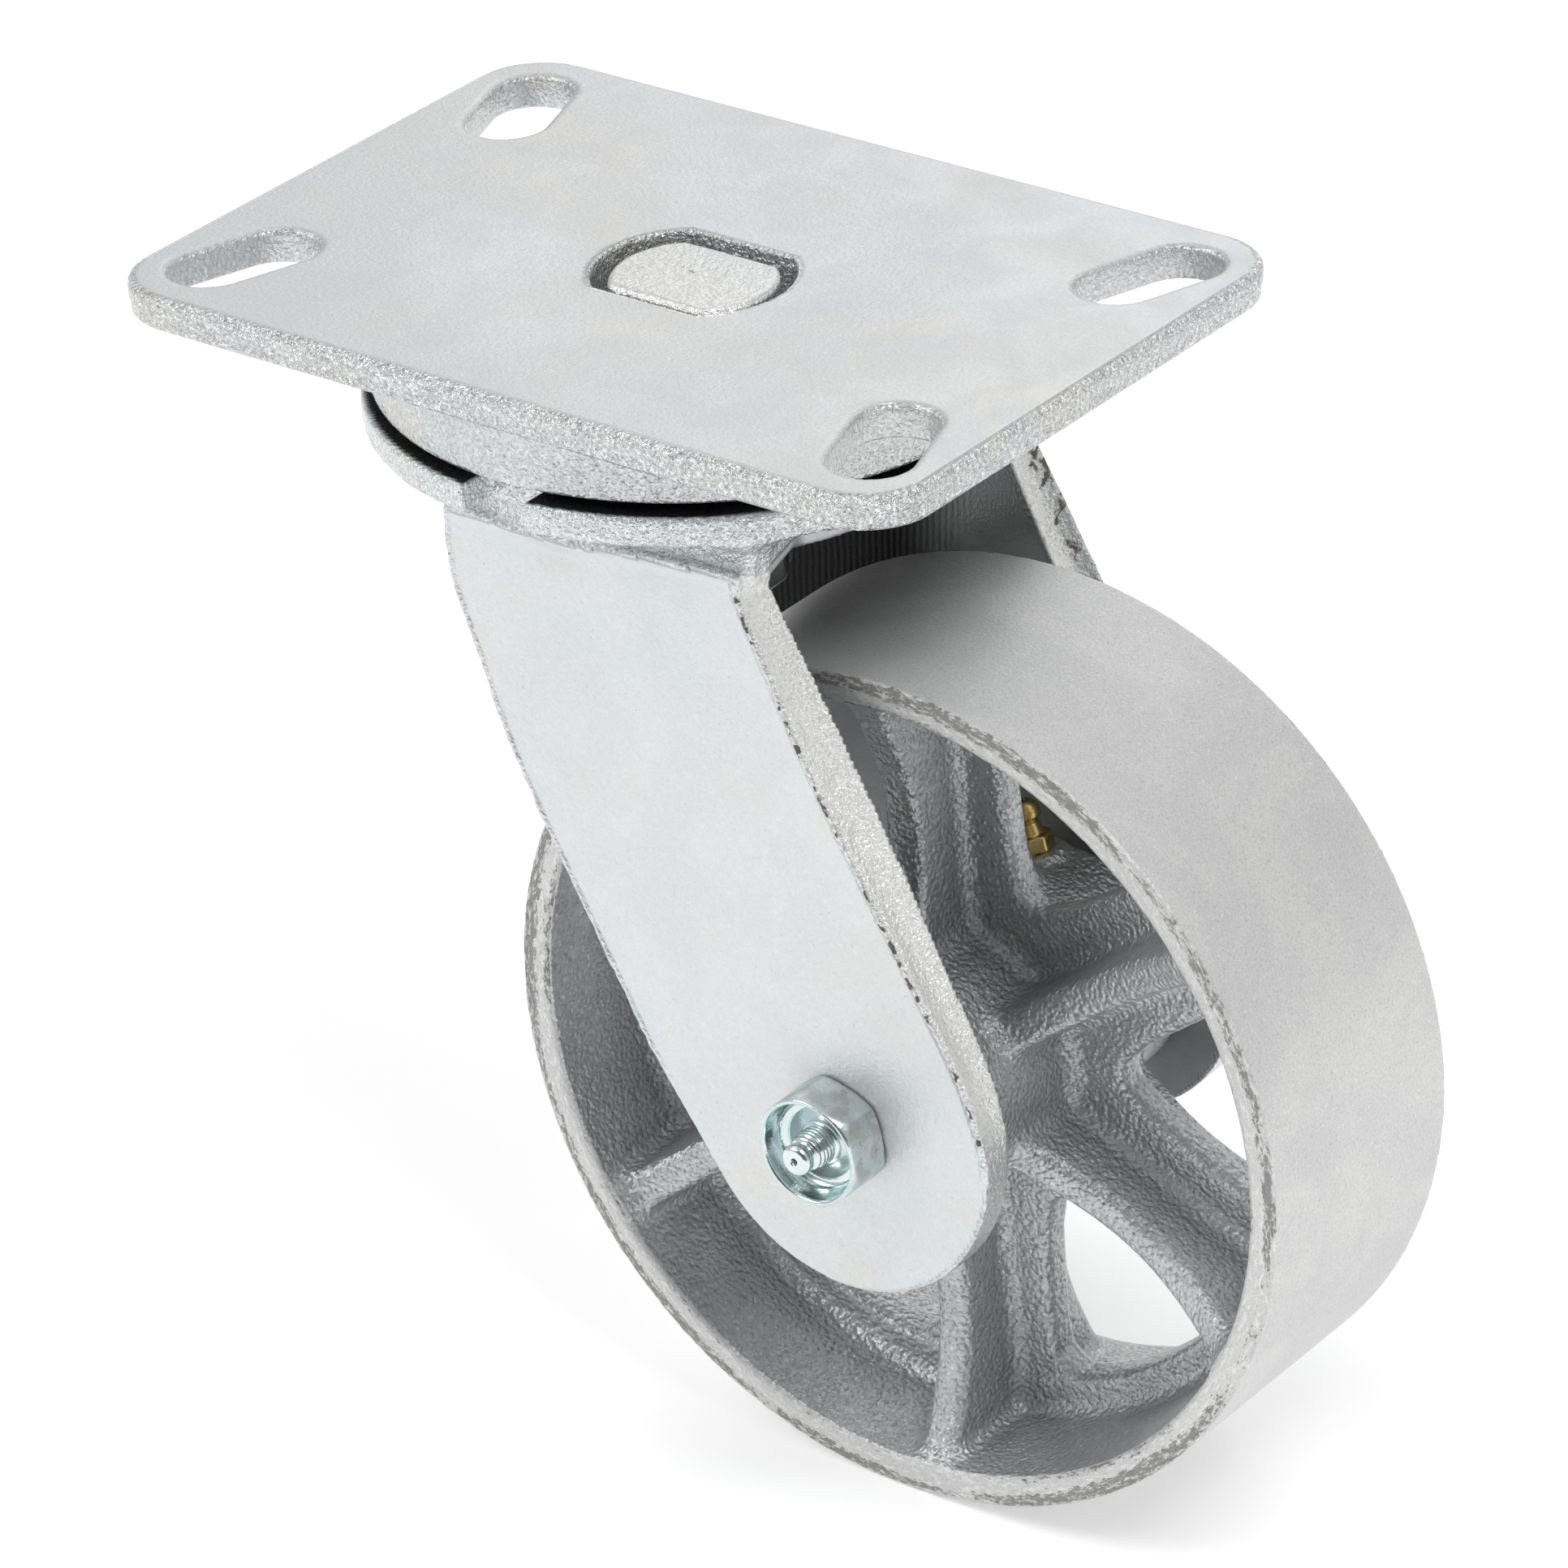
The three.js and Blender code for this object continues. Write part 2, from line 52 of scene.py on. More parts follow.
# ------------------------------------------------------------------ distance-field helpers
def rmin(a, b, r):
    """Union with a fillet of radius r."""
    u, v = np.maximum(r - a, 0), np.maximum(r - b, 0)
    return np.maximum(r, np.minimum(a, b)) - np.sqrt(u * u + v * v)

def rmax(a, b, r):
    """Intersection with an edge rounded to radius r."""
    u, v = np.maximum(r + a, 0), np.maximum(r + b, 0)
    return np.minimum(-r, np.maximum(a, b)) + np.sqrt(u * u + v * v)

def poly2(px, py, pts):
    """Signed distance to a closed outline, negative inside."""
    pts = np.asarray(pts, float)
    best = np.full(px.shape, 1e9)
    inside = np.zeros(px.shape, bool)
    for (ax, ay), (bx, by) in zip(pts, np.roll(pts, -1, 0)):
        ex, ey = bx - ax, by - ay
        wx, wy = px - ax, py - ay
        t = np.clip((wx * ex + wy * ey) / (ex * ex + ey * ey), 0, 1)
        dx, dy = wx - ex * t, wy - ey * t
        best = np.minimum(best, dx * dx + dy * dy)
        if ey != 0:
            cond = (ay > py) != (by > py)
            inside ^= cond & (px < ax + ex * (py - ay) / ey)
    return np.where(inside, -1.0, 1.0) * np.sqrt(best)

class Field2:
    """An outline's distance, sampled once on a fine grid and read back bilinearly."""
    def __init__(self, pts, lo, hi, step=0.25):
        self.lo, self.step = np.array(lo, float), step
        self.n = np.ceil((np.array(hi, float) - self.lo) / step).astype(int) + 1
        gx, gy = np.meshgrid(self.lo[0] + step * np.arange(self.n[0]), self.lo[1] + step * np.arange(self.n[1]), indexing="ij")
        self.v = poly2(gx, gy, pts)
    def __call__(self, x, y):
        u = np.clip((x - self.lo[0]) / self.step, 0, self.n[0] - 1.001)
        v = np.clip((y - self.lo[1]) / self.step, 0, self.n[1] - 1.001)
        i, j = u.astype(int), v.astype(int)
        fu, fv = u - i, v - j
        g = self.v
        d = (g[i, j] * (1 - fu) + g[i + 1, j] * fu) * (1 - fv) + (g[i, j + 1] * (1 - fu) + g[i + 1, j + 1] * fu) * fv
        out = np.maximum(np.abs(x - np.clip(x, self.lo[0], self.lo[0] + self.step * (self.n[0] - 1))),
                         np.abs(y - np.clip(y, self.lo[1], self.lo[1] + self.step * (self.n[1] - 1))))
        return d + out

def _hash(ix, iy, iz, seed):
    with np.errstate(over="ignore"):
        n = ix.astype(np.uint32) * np.uint32(374761393) + iy.astype(np.uint32) * np.uint32(668265263)
        n = n + iz.astype(np.uint32) * np.uint32(2246822519) + np.uint32((seed * 3266489917) & 0xFFFFFFFF)
        n = (n ^ (n >> np.uint32(15))) * np.uint32(2246822519)
        n = (n ^ (n >> np.uint32(13))) * np.uint32(3266489917)
        n = n ^ (n >> np.uint32(16))
    return n.astype(np.float64) * (2.0 / 4294967295.0) - 1

def noise3(x, y, z, scale, seed=1):
    """Smooth value noise in -1..1 with features about `scale` mm across."""
    x, y, z = x / scale + 517.3, y / scale + 311.7, z / scale + 701.1
    ix, iy, iz = np.floor(x).astype(np.int64), np.floor(y).astype(np.int64), np.floor(z).astype(np.int64)
    fx, fy, fz = x - ix, y - iy, z - iz
    sx, sy, sz = fx * fx * (3 - 2 * fx), fy * fy * (3 - 2 * fy), fz * fz * (3 - 2 * fz)
    out = 0
    for a in (0, 1):
        for b in (0, 1):
            for c in (0, 1):
                w = (sx if a else 1 - sx) * (sy if b else 1 - sy) * (sz if c else 1 - sz)
                out = out + w * _hash(ix + a, iy + b, iz + c, seed)
    return out

def fbm(x, y, z, scale, seed=1, octaves=3):
    out, amp = 0, 1.0
    for o in range(octaves):
        out = out + amp * noise3(x, y, z, scale / 2 ** o, seed + 17 * o)
        amp *= 0.55
    return out / 1.8

def step01(v, a, b):
    t = np.clip((v - a) / (b - a), 0, 1)
    return t * t * (3 - 2 * t)

# ------------------------------------------------------------------ surface from a distance field
def evaluate(f, p, chunk=400000):
    out = np.empty(len(p))
    for i in range(0, len(p), chunk):
        q = p[i:i + chunk]
        out[i:i + chunk] = f(q[:, 0], q[:, 1], q[:, 2])
    return out

def gradient(f, p, v0=None, e=0.06):
    if v0 is None:
        v0 = evaluate(f, p)
    g = np.empty_like(p)
    for k in range(3):
        q = p.copy(); q[:, k] += e
        g[:, k] = (evaluate(f, q) - v0) / e
    return g

def surface(f, lo, hi, h, steps=3):
    """Surface nets over a narrow band, each vertex then moved onto the zero level. Returns vertices (mm) and quads."""
    lo, hi = np.array(lo, float), np.array(hi, float)
    n = np.ceil((hi - lo) / h).astype(int) + 1
    B = 8
    nc = -(-n // B)
    cs = [lo[k] + h * (B * np.arange(nc[k]) + (B - 1) / 2) for k in range(3)]
    C = np.stack(np.meshgrid(*cs, indexing="ij"), -1).reshape(-1, 3)
    Fc = evaluate(f, C).reshape(nc)
    near = np.abs(Fc) < 0.92 * B * h + 0.6
    F = np.where(Fc < 0, -9.0, 9.0).astype(F32)
    for k in range(3):
        F = np.repeat(F, B, axis=k); near = np.repeat(near, B, axis=k)
    F = np.ascontiguousarray(F[:n[0], :n[1], :n[2]]); near = near[:n[0], :n[1], :n[2]]
    idx = np.nonzero(near)
    pts = np.stack([lo[k] + h * idx[k] for k in range(3)], -1)
    F[idx] = evaluate(f, pts).astype(F32)
    S = F < 0
    cnt = np.zeros(n - 1, np.int8)
    sl = [(slice(0, -1), slice(1, None))[b] for b in (0, 1)]
    for a in (0, 1):
        for b in (0, 1):
            for c in (0, 1):
                cnt += S[sl[a], sl[b], sl[c]]
    act = (cnt > 0) & (cnt < 8)
    ids = np.full(act.shape, -1, np.int32)
    ci = np.nonzero(act)
    m = len(ci[0])
    ids[ci] = np.arange(m)
    base = np.stack(ci, -1)
    corner = {}
    for a in (0, 1):
        for b in (0, 1):
            for c in (0, 1):
                corner[a, b, c] = F[ci[0] + a, ci[1] + b, ci[2] + c]
    acc = np.zeros((m, 3)); w = np.zeros(m)
    for p, vp in corner.items():
        for k in range(3):
            if p[k]:
                continue
            q = list(p); q[k] = 1; vq = corner[tuple(q)]
            hit = (vp < 0) != (vq < 0)
            t = np.where(hit, vp / np.where(hit, vp - vq, 1), 0)
            pos = np.tile(np.array(p, float), (m, 1)); pos[:, k] = t
            acc += pos * hit[:, None]; w += hit
    V = lo + h * (base + acc / w[:, None])
    V0 = V.copy()
    for _ in range(steps):
        v = evaluate(f, V)
        g = gradient(f, V, v)
        gg = np.maximum((g * g).sum(1), 0.15)
        d = -(v / gg)[:, None] * g
        ln = np.linalg.norm(d, axis=1, keepdims=True)
        V = V + d * np.minimum(1, 0.5 * h / np.maximum(ln, 1e-9))
    V = np.clip(V, V0 - 1.2 * h, V0 + 1.2 * h)
    quads = []
    for k in range(3):
        u, v = (k + 1) % 3, (k + 2) % 3
        s0 = [slice(None)] * 3; s1 = [slice(None)] * 3
        s0[k], s1[k] = slice(0, -1), slice(1, None)
        A, Bq = S[tuple(s0)], S[tuple(s1)]
        e = np.stack(np.nonzero(A != Bq), -1)
        e = e[(e[:, u] >= 1) & (e[:, v] >= 1) & (e[:, u] < n[u] - 1) & (e[:, v] < n[v] - 1)]
        up = A[e[:, 0], e[:, 1], e[:, 2]]
        cols = []
        for du, dv in ((-1, -1), (0, -1), (0, 0), (-1, 0)):
            c = e.copy(); c[:, u] += du; c[:, v] += dv
            cols.append(ids[c[:, 0], c[:, 1], c[:, 2]])
        q = np.stack(cols, -1)
        q = np.where(up[:, None], q, q[:, ::-1])
        quads.append(q)
    Q = np.concatenate(quads)
    return V, Q[(Q >= 0).all(1)]

def masks(f, V, N, e1=1.2, e2=6.0):
    """Edge amount, and the recess amount that the materials darken as painted shade, from how far the surface falls
    away.
    """
    edge = np.clip(1 + evaluate(f, V - N * e1) / e1, 0, 1)
    recess_shade = np.clip(1 - evaluate(f, V + N * e2) / e2, 0, 1)
    return edge, recess_shade

def make_mesh(name, V, faces, attrs=None, smooth=True):
    """V in mm. faces: (n,k) int array, or a list of such arrays."""
    groups = faces if isinstance(faces, list) else [faces]
    groups = [np.asarray(g) for g in groups if len(g)]
    me = bpy.data.meshes.new(name)
    me.vertices.add(len(V))
    me.vertices.foreach_set("co", (np.asarray(V, float) * MM).astype(F32).ravel())
    loops = np.concatenate([g.ravel() for g in groups]).astype(np.int32)
    counts = np.concatenate([np.full(len(g), g.shape[1]) for g in groups])
    starts = np.concatenate([[0], np.cumsum(counts)[:-1]]).astype(np.int32)
    me.loops.add(len(loops))
    me.loops.foreach_set("vertex_index", loops)
    me.polygons.add(len(counts))
    me.polygons.foreach_set("loop_start", starts)
    me.update(calc_edges=True)
    me.validate()
    if smooth:
        me.shade_smooth()
    for k, v in (attrs or {}).items():
        a = me.attributes.new(k, "FLOAT", "POINT")
        a.data.foreach_set("value", np.asarray(v, F32))
    return me

def add_piece(name, me, body, nodes, slot, mat):
    o = bpy.data.objects.new(name, me)
    bpy.context.scene.collection.objects.link(o)
    me.materials.append(mat)
    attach(o, body)
    if nodes:
        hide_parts(*nodes)
    return o

def lathe(profile, axis="z", centre=(0, 0, 0), seg=96, closed=False):
    """Revolve (r, t) points, listed so that the outer side faces out. Rounded corners come from extra points."""
    prof = np.array(profile, float)
    n = len(prof)
    a = np.arange(seg) * 2 * math.pi / seg
    V = np.zeros((n, seg, 3))
    c, s = np.cos(a), np.sin(a)
    if axis == "z":
        V[..., 0] = prof[:, :1] * c; V[..., 1] = prof[:, :1] * s; V[..., 2] = prof[:, 1:2]
    elif axis == "y":
        V[..., 2] = prof[:, :1] * c; V[..., 0] = prof[:, :1] * s; V[..., 1] = prof[:, 1:2]
    V = V.reshape(-1, 3) + np.array(centre, float)
    quads = []
    rng = range(n if closed else n - 1)
    j = np.arange(seg); j2 = (j + 1) % seg
    for i in rng:
        i2 = (i + 1) % n
        quads.append(np.stack([i * seg + j, i * seg + j2, i2 * seg + j2, i2 * seg + j], -1))
    return V, np.concatenate(quads)

def soft_profile(pts, radius=0.4, n=3, closed=True):
    """Round each corner of an (r, t) outline."""
    pts = [np.array(p, float) for p in pts]
    out = []
    m = len(pts)
    for i, p in enumerate(pts):
        if not closed and i in (0, m - 1):
            out.append(tuple(p)); continue
        a, b = pts[i - 1], pts[(i + 1) % m]
        da, db = a - p, b - p
        la, lb = np.linalg.norm(da), np.linalg.norm(db)
        r = min(radius, la * 0.4, lb * 0.4)
        s, e = p + da / la * r, p + db / lb * r
        for t in np.linspace(0, 1, n + 1):
            out.append(tuple((1 - t) ** 2 * s + 2 * t * (1 - t) * p + t * t * e))
    return out

def join(parts):
    Vs, Fs, off = [], [], 0
    for V, Fq in parts:
        Vs.append(V); Fs.append(Fq + off); off += len(V)
    return np.concatenate(Vs), np.concatenate(Fs)

# ------------------------------------------------------------------ materials
class Tree:
    def __init__(self, name):
        self.mat = bpy.data.materials.new(name)
        self.mat.use_nodes = True
        self.t = self.mat.node_tree
        self.t.nodes.clear()
        self.out = self.t.nodes.new("ShaderNodeOutputMaterial")
        self.bsdf = self.t.nodes.new("ShaderNodeBsdfPrincipled")
        self.t.links.new(self.bsdf.outputs[0], self.out.inputs[0])
        tc = self.t.nodes.new("ShaderNodeTexCoord")
        self.co = tc.outputs["Object"]
    def put(self, sock, v):
        if isinstance(v, (int, float)):
            sock.default_value = v
        elif isinstance(v, tuple):
            sock.default_value = v if len(v) == 4 or sock.type == "VECTOR" else (*v, 1)
        else:
            self.t.links.new(v, sock)
    def noise(self, scale, detail=2.0, rough=0.5, dist=0.0, co=None, lac=2.0):
        n = self.t.nodes.new("ShaderNodeTexNoise")
        n.inputs["Scale"].default_value = scale; n.inputs["Detail"].default_value = detail
        n.inputs["Roughness"].default_value = rough; n.inputs["Distortion"].default_value = dist
        n.inputs["Lacunarity"].default_value = lac
        self.t.links.new(co or self.co, n.inputs["Vector"])
        return n.outputs["Fac"]
    def voronoi(self, scale, feature="F1", co=None, out="Distance"):
        n = self.t.nodes.new("ShaderNodeTexVoronoi")
        n.feature = feature
        n.inputs["Scale"].default_value = scale
        self.t.links.new(co or self.co, n.inputs["Vector"])
        return n.outputs[out]
    def attr(self, name):
        n = self.t.nodes.new("ShaderNodeAttribute")
        n.attribute_name = name
        return n.outputs["Fac"]
    def math(self, op, a, b=0.0, c=None):
        n = self.t.nodes.new("ShaderNodeMath")
        n.operation = op
        self.put(n.inputs[0], a); self.put(n.inputs[1], b)
        if c is not None:
            self.put(n.inputs[2], c)
        return n.outputs[0]
    def remap(self, v, a, b, c=0.0, d=1.0, smooth=True):
        n = self.t.nodes.new("ShaderNodeMapRange")
        n.interpolation_type = "SMOOTHSTEP" if smooth else "LINEAR"
        self.put(n.inputs["Value"], v)
        n.inputs["From Min"].default_value = a; n.inputs["From Max"].default_value = b
        n.inputs["To Min"].default_value = c; n.inputs["To Max"].default_value = d
        return n.outputs["Result"]
    def mix(self, fac, a, b):
        n = self.t.nodes.new("ShaderNodeMix")
        n.data_type = "RGBA"
        self.put(n.inputs["Factor"], fac)
        self.put(n.inputs["A"], a); self.put(n.inputs["B"], b)
        # the colour sockets are the ones of this data type
        for key, v in (("A", a), ("B", b)):
            s = [i for i in n.inputs if i.name == key and i.type == "RGBA"][0]
            self.put(s, v)
        return [o for o in n.outputs if o.type == "RGBA"][0]
    def lerp(self, fac, a, b):
        n = self.t.nodes.new("ShaderNodeMix")
        n.data_type = "FLOAT"
        self.put(n.inputs["Factor"], fac)
        for key, v in (("A", a), ("B", b)):
            s = [i for i in n.inputs if i.name == key and i.type == "VALUE"][0]
            self.put(s, v)
        return [o for o in n.outputs if o.type == "VALUE"][0]
    def bump(self, height, dist, strength=1.0, normal=None):
        n = self.t.nodes.new("ShaderNodeBump")
        n.inputs["Strength"].default_value = strength
        n.inputs["Distance"].default_value = dist
        self.t.links.new(height, n.inputs["Height"])
        if normal is not None:
            self.t.links.new(normal, n.inputs["Normal"])
        return n.outputs["Normal"]
    def set(self, **kw):
        for k, v in kw.items():
            self.put(self.bsdf.inputs[k.replace("_", " ")], v)
        return self.mat

def zinc(name, base=(0.70, 0.715, 0.715), cool=(0.69, 0.72, 0.745), warm=(0.73, 0.715, 0.67), rough=0.42, metal=0.62, edge_bright=0.4):
    """Bright zinc plate over blasted or sheared steel. Attributes: rough = sheared or blasted surface, dirt = worn dark
    patches, inner = painted shade, dull grey on the inner faces between the legs and on the kingpin's shank,
    painted_shade_black = painted shade, near-black on the flange top, the gusset fronts, the legs' inner faces deep
    under the crown and the plate's raceway ceiling, rib = drawn marks inside the fork, buffed_strip_highlight = buffed
    front strip lightened as a painted highlight, recess_shade = recesses darkened as painted shade."""
    t = Tree(name)
    big = t.remap(t.noise(22, 3, 0.55), 0.38, 0.62)
    cloud = t.remap(t.noise(60, 4, 0.6, 0.6), 0.35, 0.7)
    col = t.mix(big, cool, base)
    col = t.mix(t.math("MULTIPLY", t.remap(t.noise(35, 4, 0.6, 0.8), 0.52, 0.72), 0.55), col, warm)
    # fine salt of tiny darker and lighter crystals
    fine = t.noise(2600, 2, 0.6)
    col = t.mix(t.remap(fine, 0.56, 0.78, 0, 0.30), col, (0.50, 0.52, 0.53))
    col = t.mix(t.remap(fine, 0.44, 0.24, 0, 0.35), col, (0.86, 0.87, 0.86))
    salt = t.noise(1000, 4, 0.7)
    col = t.mix(t.remap(salt, 0.53, 0.70, 0, 0.16), col, (0.50, 0.51, 0.51))
    col = t.mix(t.remap(salt, 0.47, 0.30, 0, 0.22), col, (0.90, 0.90, 0.90))
    speck = t.remap(t.noise(1300, 1, 0.5), 0.75, 0.80)
    col = t.mix(t.math("MULTIPLY", speck, 0.35), col, (0.36, 0.36, 0.35))
    rg = t.attr("rough")
    glit = t.noise(1500, 3, 0.65)
    col = t.mix(t.math("MULTIPLY", rg, t.remap(glit, 0.52, 0.66, 0, 0.62)), col, (0.36, 0.36, 0.345))
    col = t.mix(t.math("MULTIPLY", rg, t.remap(glit, 0.48, 0.36, 0, 0.9)), col, (0.97, 0.97, 0.94))
    # painted shade: recesses darkened towards grey
    col = t.mix(t.remap(t.attr("recess_shade"), 0.50, 1.0, 0, 0.40), col, (0.38, 0.38, 0.38))
    # painted highlight: the buffed front strip of the legs lightened almost to white
    buffed_highlight = t.attr("buffed_strip_highlight")
    col = t.mix(t.math("MULTIPLY", buffed_highlight, t.remap(glit, 0.68, 0.44, 0.55, 0.95)), col, (0.98, 0.98, 0.955))
    # painted shade: the inner faces between the legs and the kingpin's shank turned dull grey
    inner = t.attr("inner")
    col = t.mix(t.math("MULTIPLY", inner, 0.92), col, t.mix(cloud, (0.33, 0.345, 0.35), (0.41, 0.42, 0.425)))
    # painted shade: near-black, dull and not metallic, on the flange top, the gusset fronts, the legs' inner faces deep
    # under the crown and the plate's raceway ceiling
    painted_shade_black = t.attr("painted_shade_black")
    col = t.mix(painted_shade_black, col, t.mix(t.noise(500, 3), (0.006, 0.0065, 0.007), (0.014, 0.015, 0.016)))
    dirt = t.attr("dirt")
    dn = t.math("ADD", dirt, t.math("MULTIPLY", t.math("SUBTRACT", t.noise(330, 5, 0.68, 0.5), 0.5), 1.9))
    dmask = t.remap(dn, 0.50, 0.66)
    dmask = t.math("MULTIPLY", dmask, t.remap(dirt, 0.02, 0.12))
    col = t.mix(dmask, col, t.mix(t.noise(420, 3), (0.22, 0.195, 0.165), (0.14, 0.13, 0.115)))
    r0 = t.lerp(cloud, rough - 0.05, rough + 0.07)
    r1 = t.lerp(rg, r0, t.lerp(glit, 0.12, 0.32))
    r2 = t.lerp(dmask, r1, 0.72)
    edge = t.attr("edge")
    r3 = t.lerp(t.remap(edge, 0.25, 0.8, 0, edge_bright), r2, 0.26)
    # bump: soft blasting everywhere, coarse where sheared, pits where worn
    h1 = t.bump(t.noise(1300, 3, 0.6), 0.00018, 0.7)
    h2 = t.bump(t.noise(240, 2, 0.5), 0.00014, 0.35, h1)
    coarse = t.math("MULTIPLY", rg, t.math("ADD", t.math("MULTIPLY", t.noise(1600, 2, 0.5), 1.0), t.math("MULTIPLY", t.noise(700, 2, 0.5), 1.0)))
    h3 = t.bump(coarse, 0.00070, 1.0, h2)
    h4 = t.bump(t.math("MULTIPLY", dmask, -1.0), 0.00014, 0.7, h3)
    sep = t.t.nodes.new("ShaderNodeSeparateXYZ")
    t.t.links.new(t.co, sep.inputs[0])
    wave = t.math("SINE", t.math("ADD", t.math("MULTIPLY", sep.outputs["X"], 4700.0), t.math("MULTIPLY", t.noise(140, 2), 5.0)))
    ribs = t.math("MULTIPLY", t.attr("rib"), wave)
    h5 = t.bump(ribs, 0.00010, 0.8, h4)
    return t.set(Base_Color=col, Metallic=t.lerp(painted_shade_black, t.lerp(buffed_highlight, t.lerp(rg, metal, 0.92), 0.45), 0.0), Roughness=t.lerp(painted_shade_black, r3, 0.62), Normal=h5, Specular_IOR_Level=0.15)

def cast(name):
    """Painted cast iron. Attributes: mach = turned surface, dirt = scraped dark pits on the rim faces, edge, and the
    recess amount, which darkens the recesses as painted shade.
    """
    t = Tree(name)
    mach = t.attr("mach")
    grain = t.noise(1250, 2, 0.55)
    peel = t.math("SUBTRACT", 1.0, t.voronoi(1150, "SMOOTH_F1"))
    col_c = t.mix(t.remap(t.noise(45, 4, 0.6), 0.35, 0.68), (0.53, 0.54, 0.547), (0.64, 0.648, 0.652))
    col_c = t.mix(t.remap(grain, 0.46, 0.28, 0, 0.50), col_c, (0.84, 0.85, 0.85))
    col_c = t.mix(t.remap(grain, 0.52, 0.72, 0, 0.45), col_c, (0.36, 0.365, 0.375))
    # painted shade: cast recesses darkened
    col_c = t.mix(t.remap(t.attr("recess_shade"), 0.30, 0.95, 0, 0.30), col_c, (0.30, 0.31, 0.32))
    col_c = t.mix(t.remap(t.attr("edge"), 0.25, 0.75, 0, 0.12), col_c, (0.82, 0.83, 0.83))
    smudge = t.remap(t.noise(30, 5, 0.62, 1.2), 0.42, 0.66)
    col_m = t.mix(smudge, (0.64, 0.645, 0.64), (0.70, 0.702, 0.695))
    fine = t.noise(2400, 2, 0.6)
    col_m = t.mix(t.remap(fine, 0.53, 0.72, 0, 0.55), col_m, (0.44, 0.44, 0.44))
    col_m = t.mix(t.remap(fine, 0.46, 0.28, 0, 0.45), col_m, (0.93, 0.93, 0.92))
    col_m = t.mix(t.math("MULTIPLY", t.remap(t.noise(900, 2, 0.5), 0.74, 0.80), 0.35), col_m, (0.34, 0.34, 0.33))
    col = t.mix(mach, col_c, col_m)
    dirt = t.attr("dirt")
    sep = t.t.nodes.new("ShaderNodeSeparateXYZ")
    t.t.links.new(t.co, sep.inputs[0])
    dx, dz = t.math("SUBTRACT", sep.outputs["X"], AX * MM), t.math("SUBTRACT", sep.outputs["Z"], AZ * MM)
    arc = t.math("MULTIPLY", t.math("ARCTAN2", dz, dx), 0.075)
    rad = t.math("SQRT", t.math("ADD", t.math("MULTIPLY", dx, dx), t.math("MULTIPLY", dz, dz)))
    com = t.t.nodes.new("ShaderNodeCombineXYZ")
    t.put(com.inputs[0], t.math("MULTIPLY", arc, 0.36)); t.put(com.inputs[1], rad); t.put(com.inputs[2], sep.outputs["Y"])
    along = com.outputs[0]
    rag = t.math("SUBTRACT", t.math("ADD", t.math("MULTIPLY", t.noise(2300, 4, 0.7, 0.0, along), 0.65), t.math("MULTIPLY", t.noise(700, 3, 0.6, 0.0, along), 0.35)), 0.5)
    dn = t.math("ADD", dirt, t.math("MULTIPLY", rag, 2.6))
    dmask = t.math("MULTIPLY", t.remap(dn, 0.50, 0.68), t.remap(dirt, 0.01, 0.1))
    col = t.mix(dmask, col, t.mix(t.noise(700, 3), (0.22, 0.215, 0.205), (0.36, 0.357, 0.345)))
    scrape = t.math("MULTIPLY", t.attr("face"), t.remap(t.noise(1300, 4, 0.7, 0.0, along), 0.50, 0.38, 0, 0.8))
    col = t.mix(scrape, col, (0.86, 0.86, 0.85))
    rough = t.lerp(mach, t.lerp(grain, 0.34, 0.48), t.lerp(t.noise(70, 3), 0.42, 0.52))
    rough = t.lerp(dmask, rough, 0.75)
    rough = t.lerp(t.math("MULTIPLY", t.attr("face"), 0.7), rough, 0.34)
    met = t.lerp(dmask, t.lerp(mach, 0.80, 0.45), 0.25)
    cm = t.math("SUBTRACT", 1.0, mach)
    h1 = t.bump(t.math("MULTIPLY", cm, peel), 0.00048, 0.9)
    h2 = t.bump(t.math("MULTIPLY", cm, grain), 0.00034, 0.8, h1)
    h3 = t.bump(t.noise(1400, 3, 0.6), 0.00016, 0.7, h2)
    h4 = t.bump(t.math("MULTIPLY", dmask, -1.0), 0.00020, 0.8, h3)
    fc = t.math("MULTIPLY", t.attr("face"), t.noise(1500, 5, 0.70, 0.0, along))
    h5 = t.bump(fc, 0.00034, 0.75, h4)
    return t.set(Base_Color=col, Metallic=met, Roughness=rough, Normal=h5)

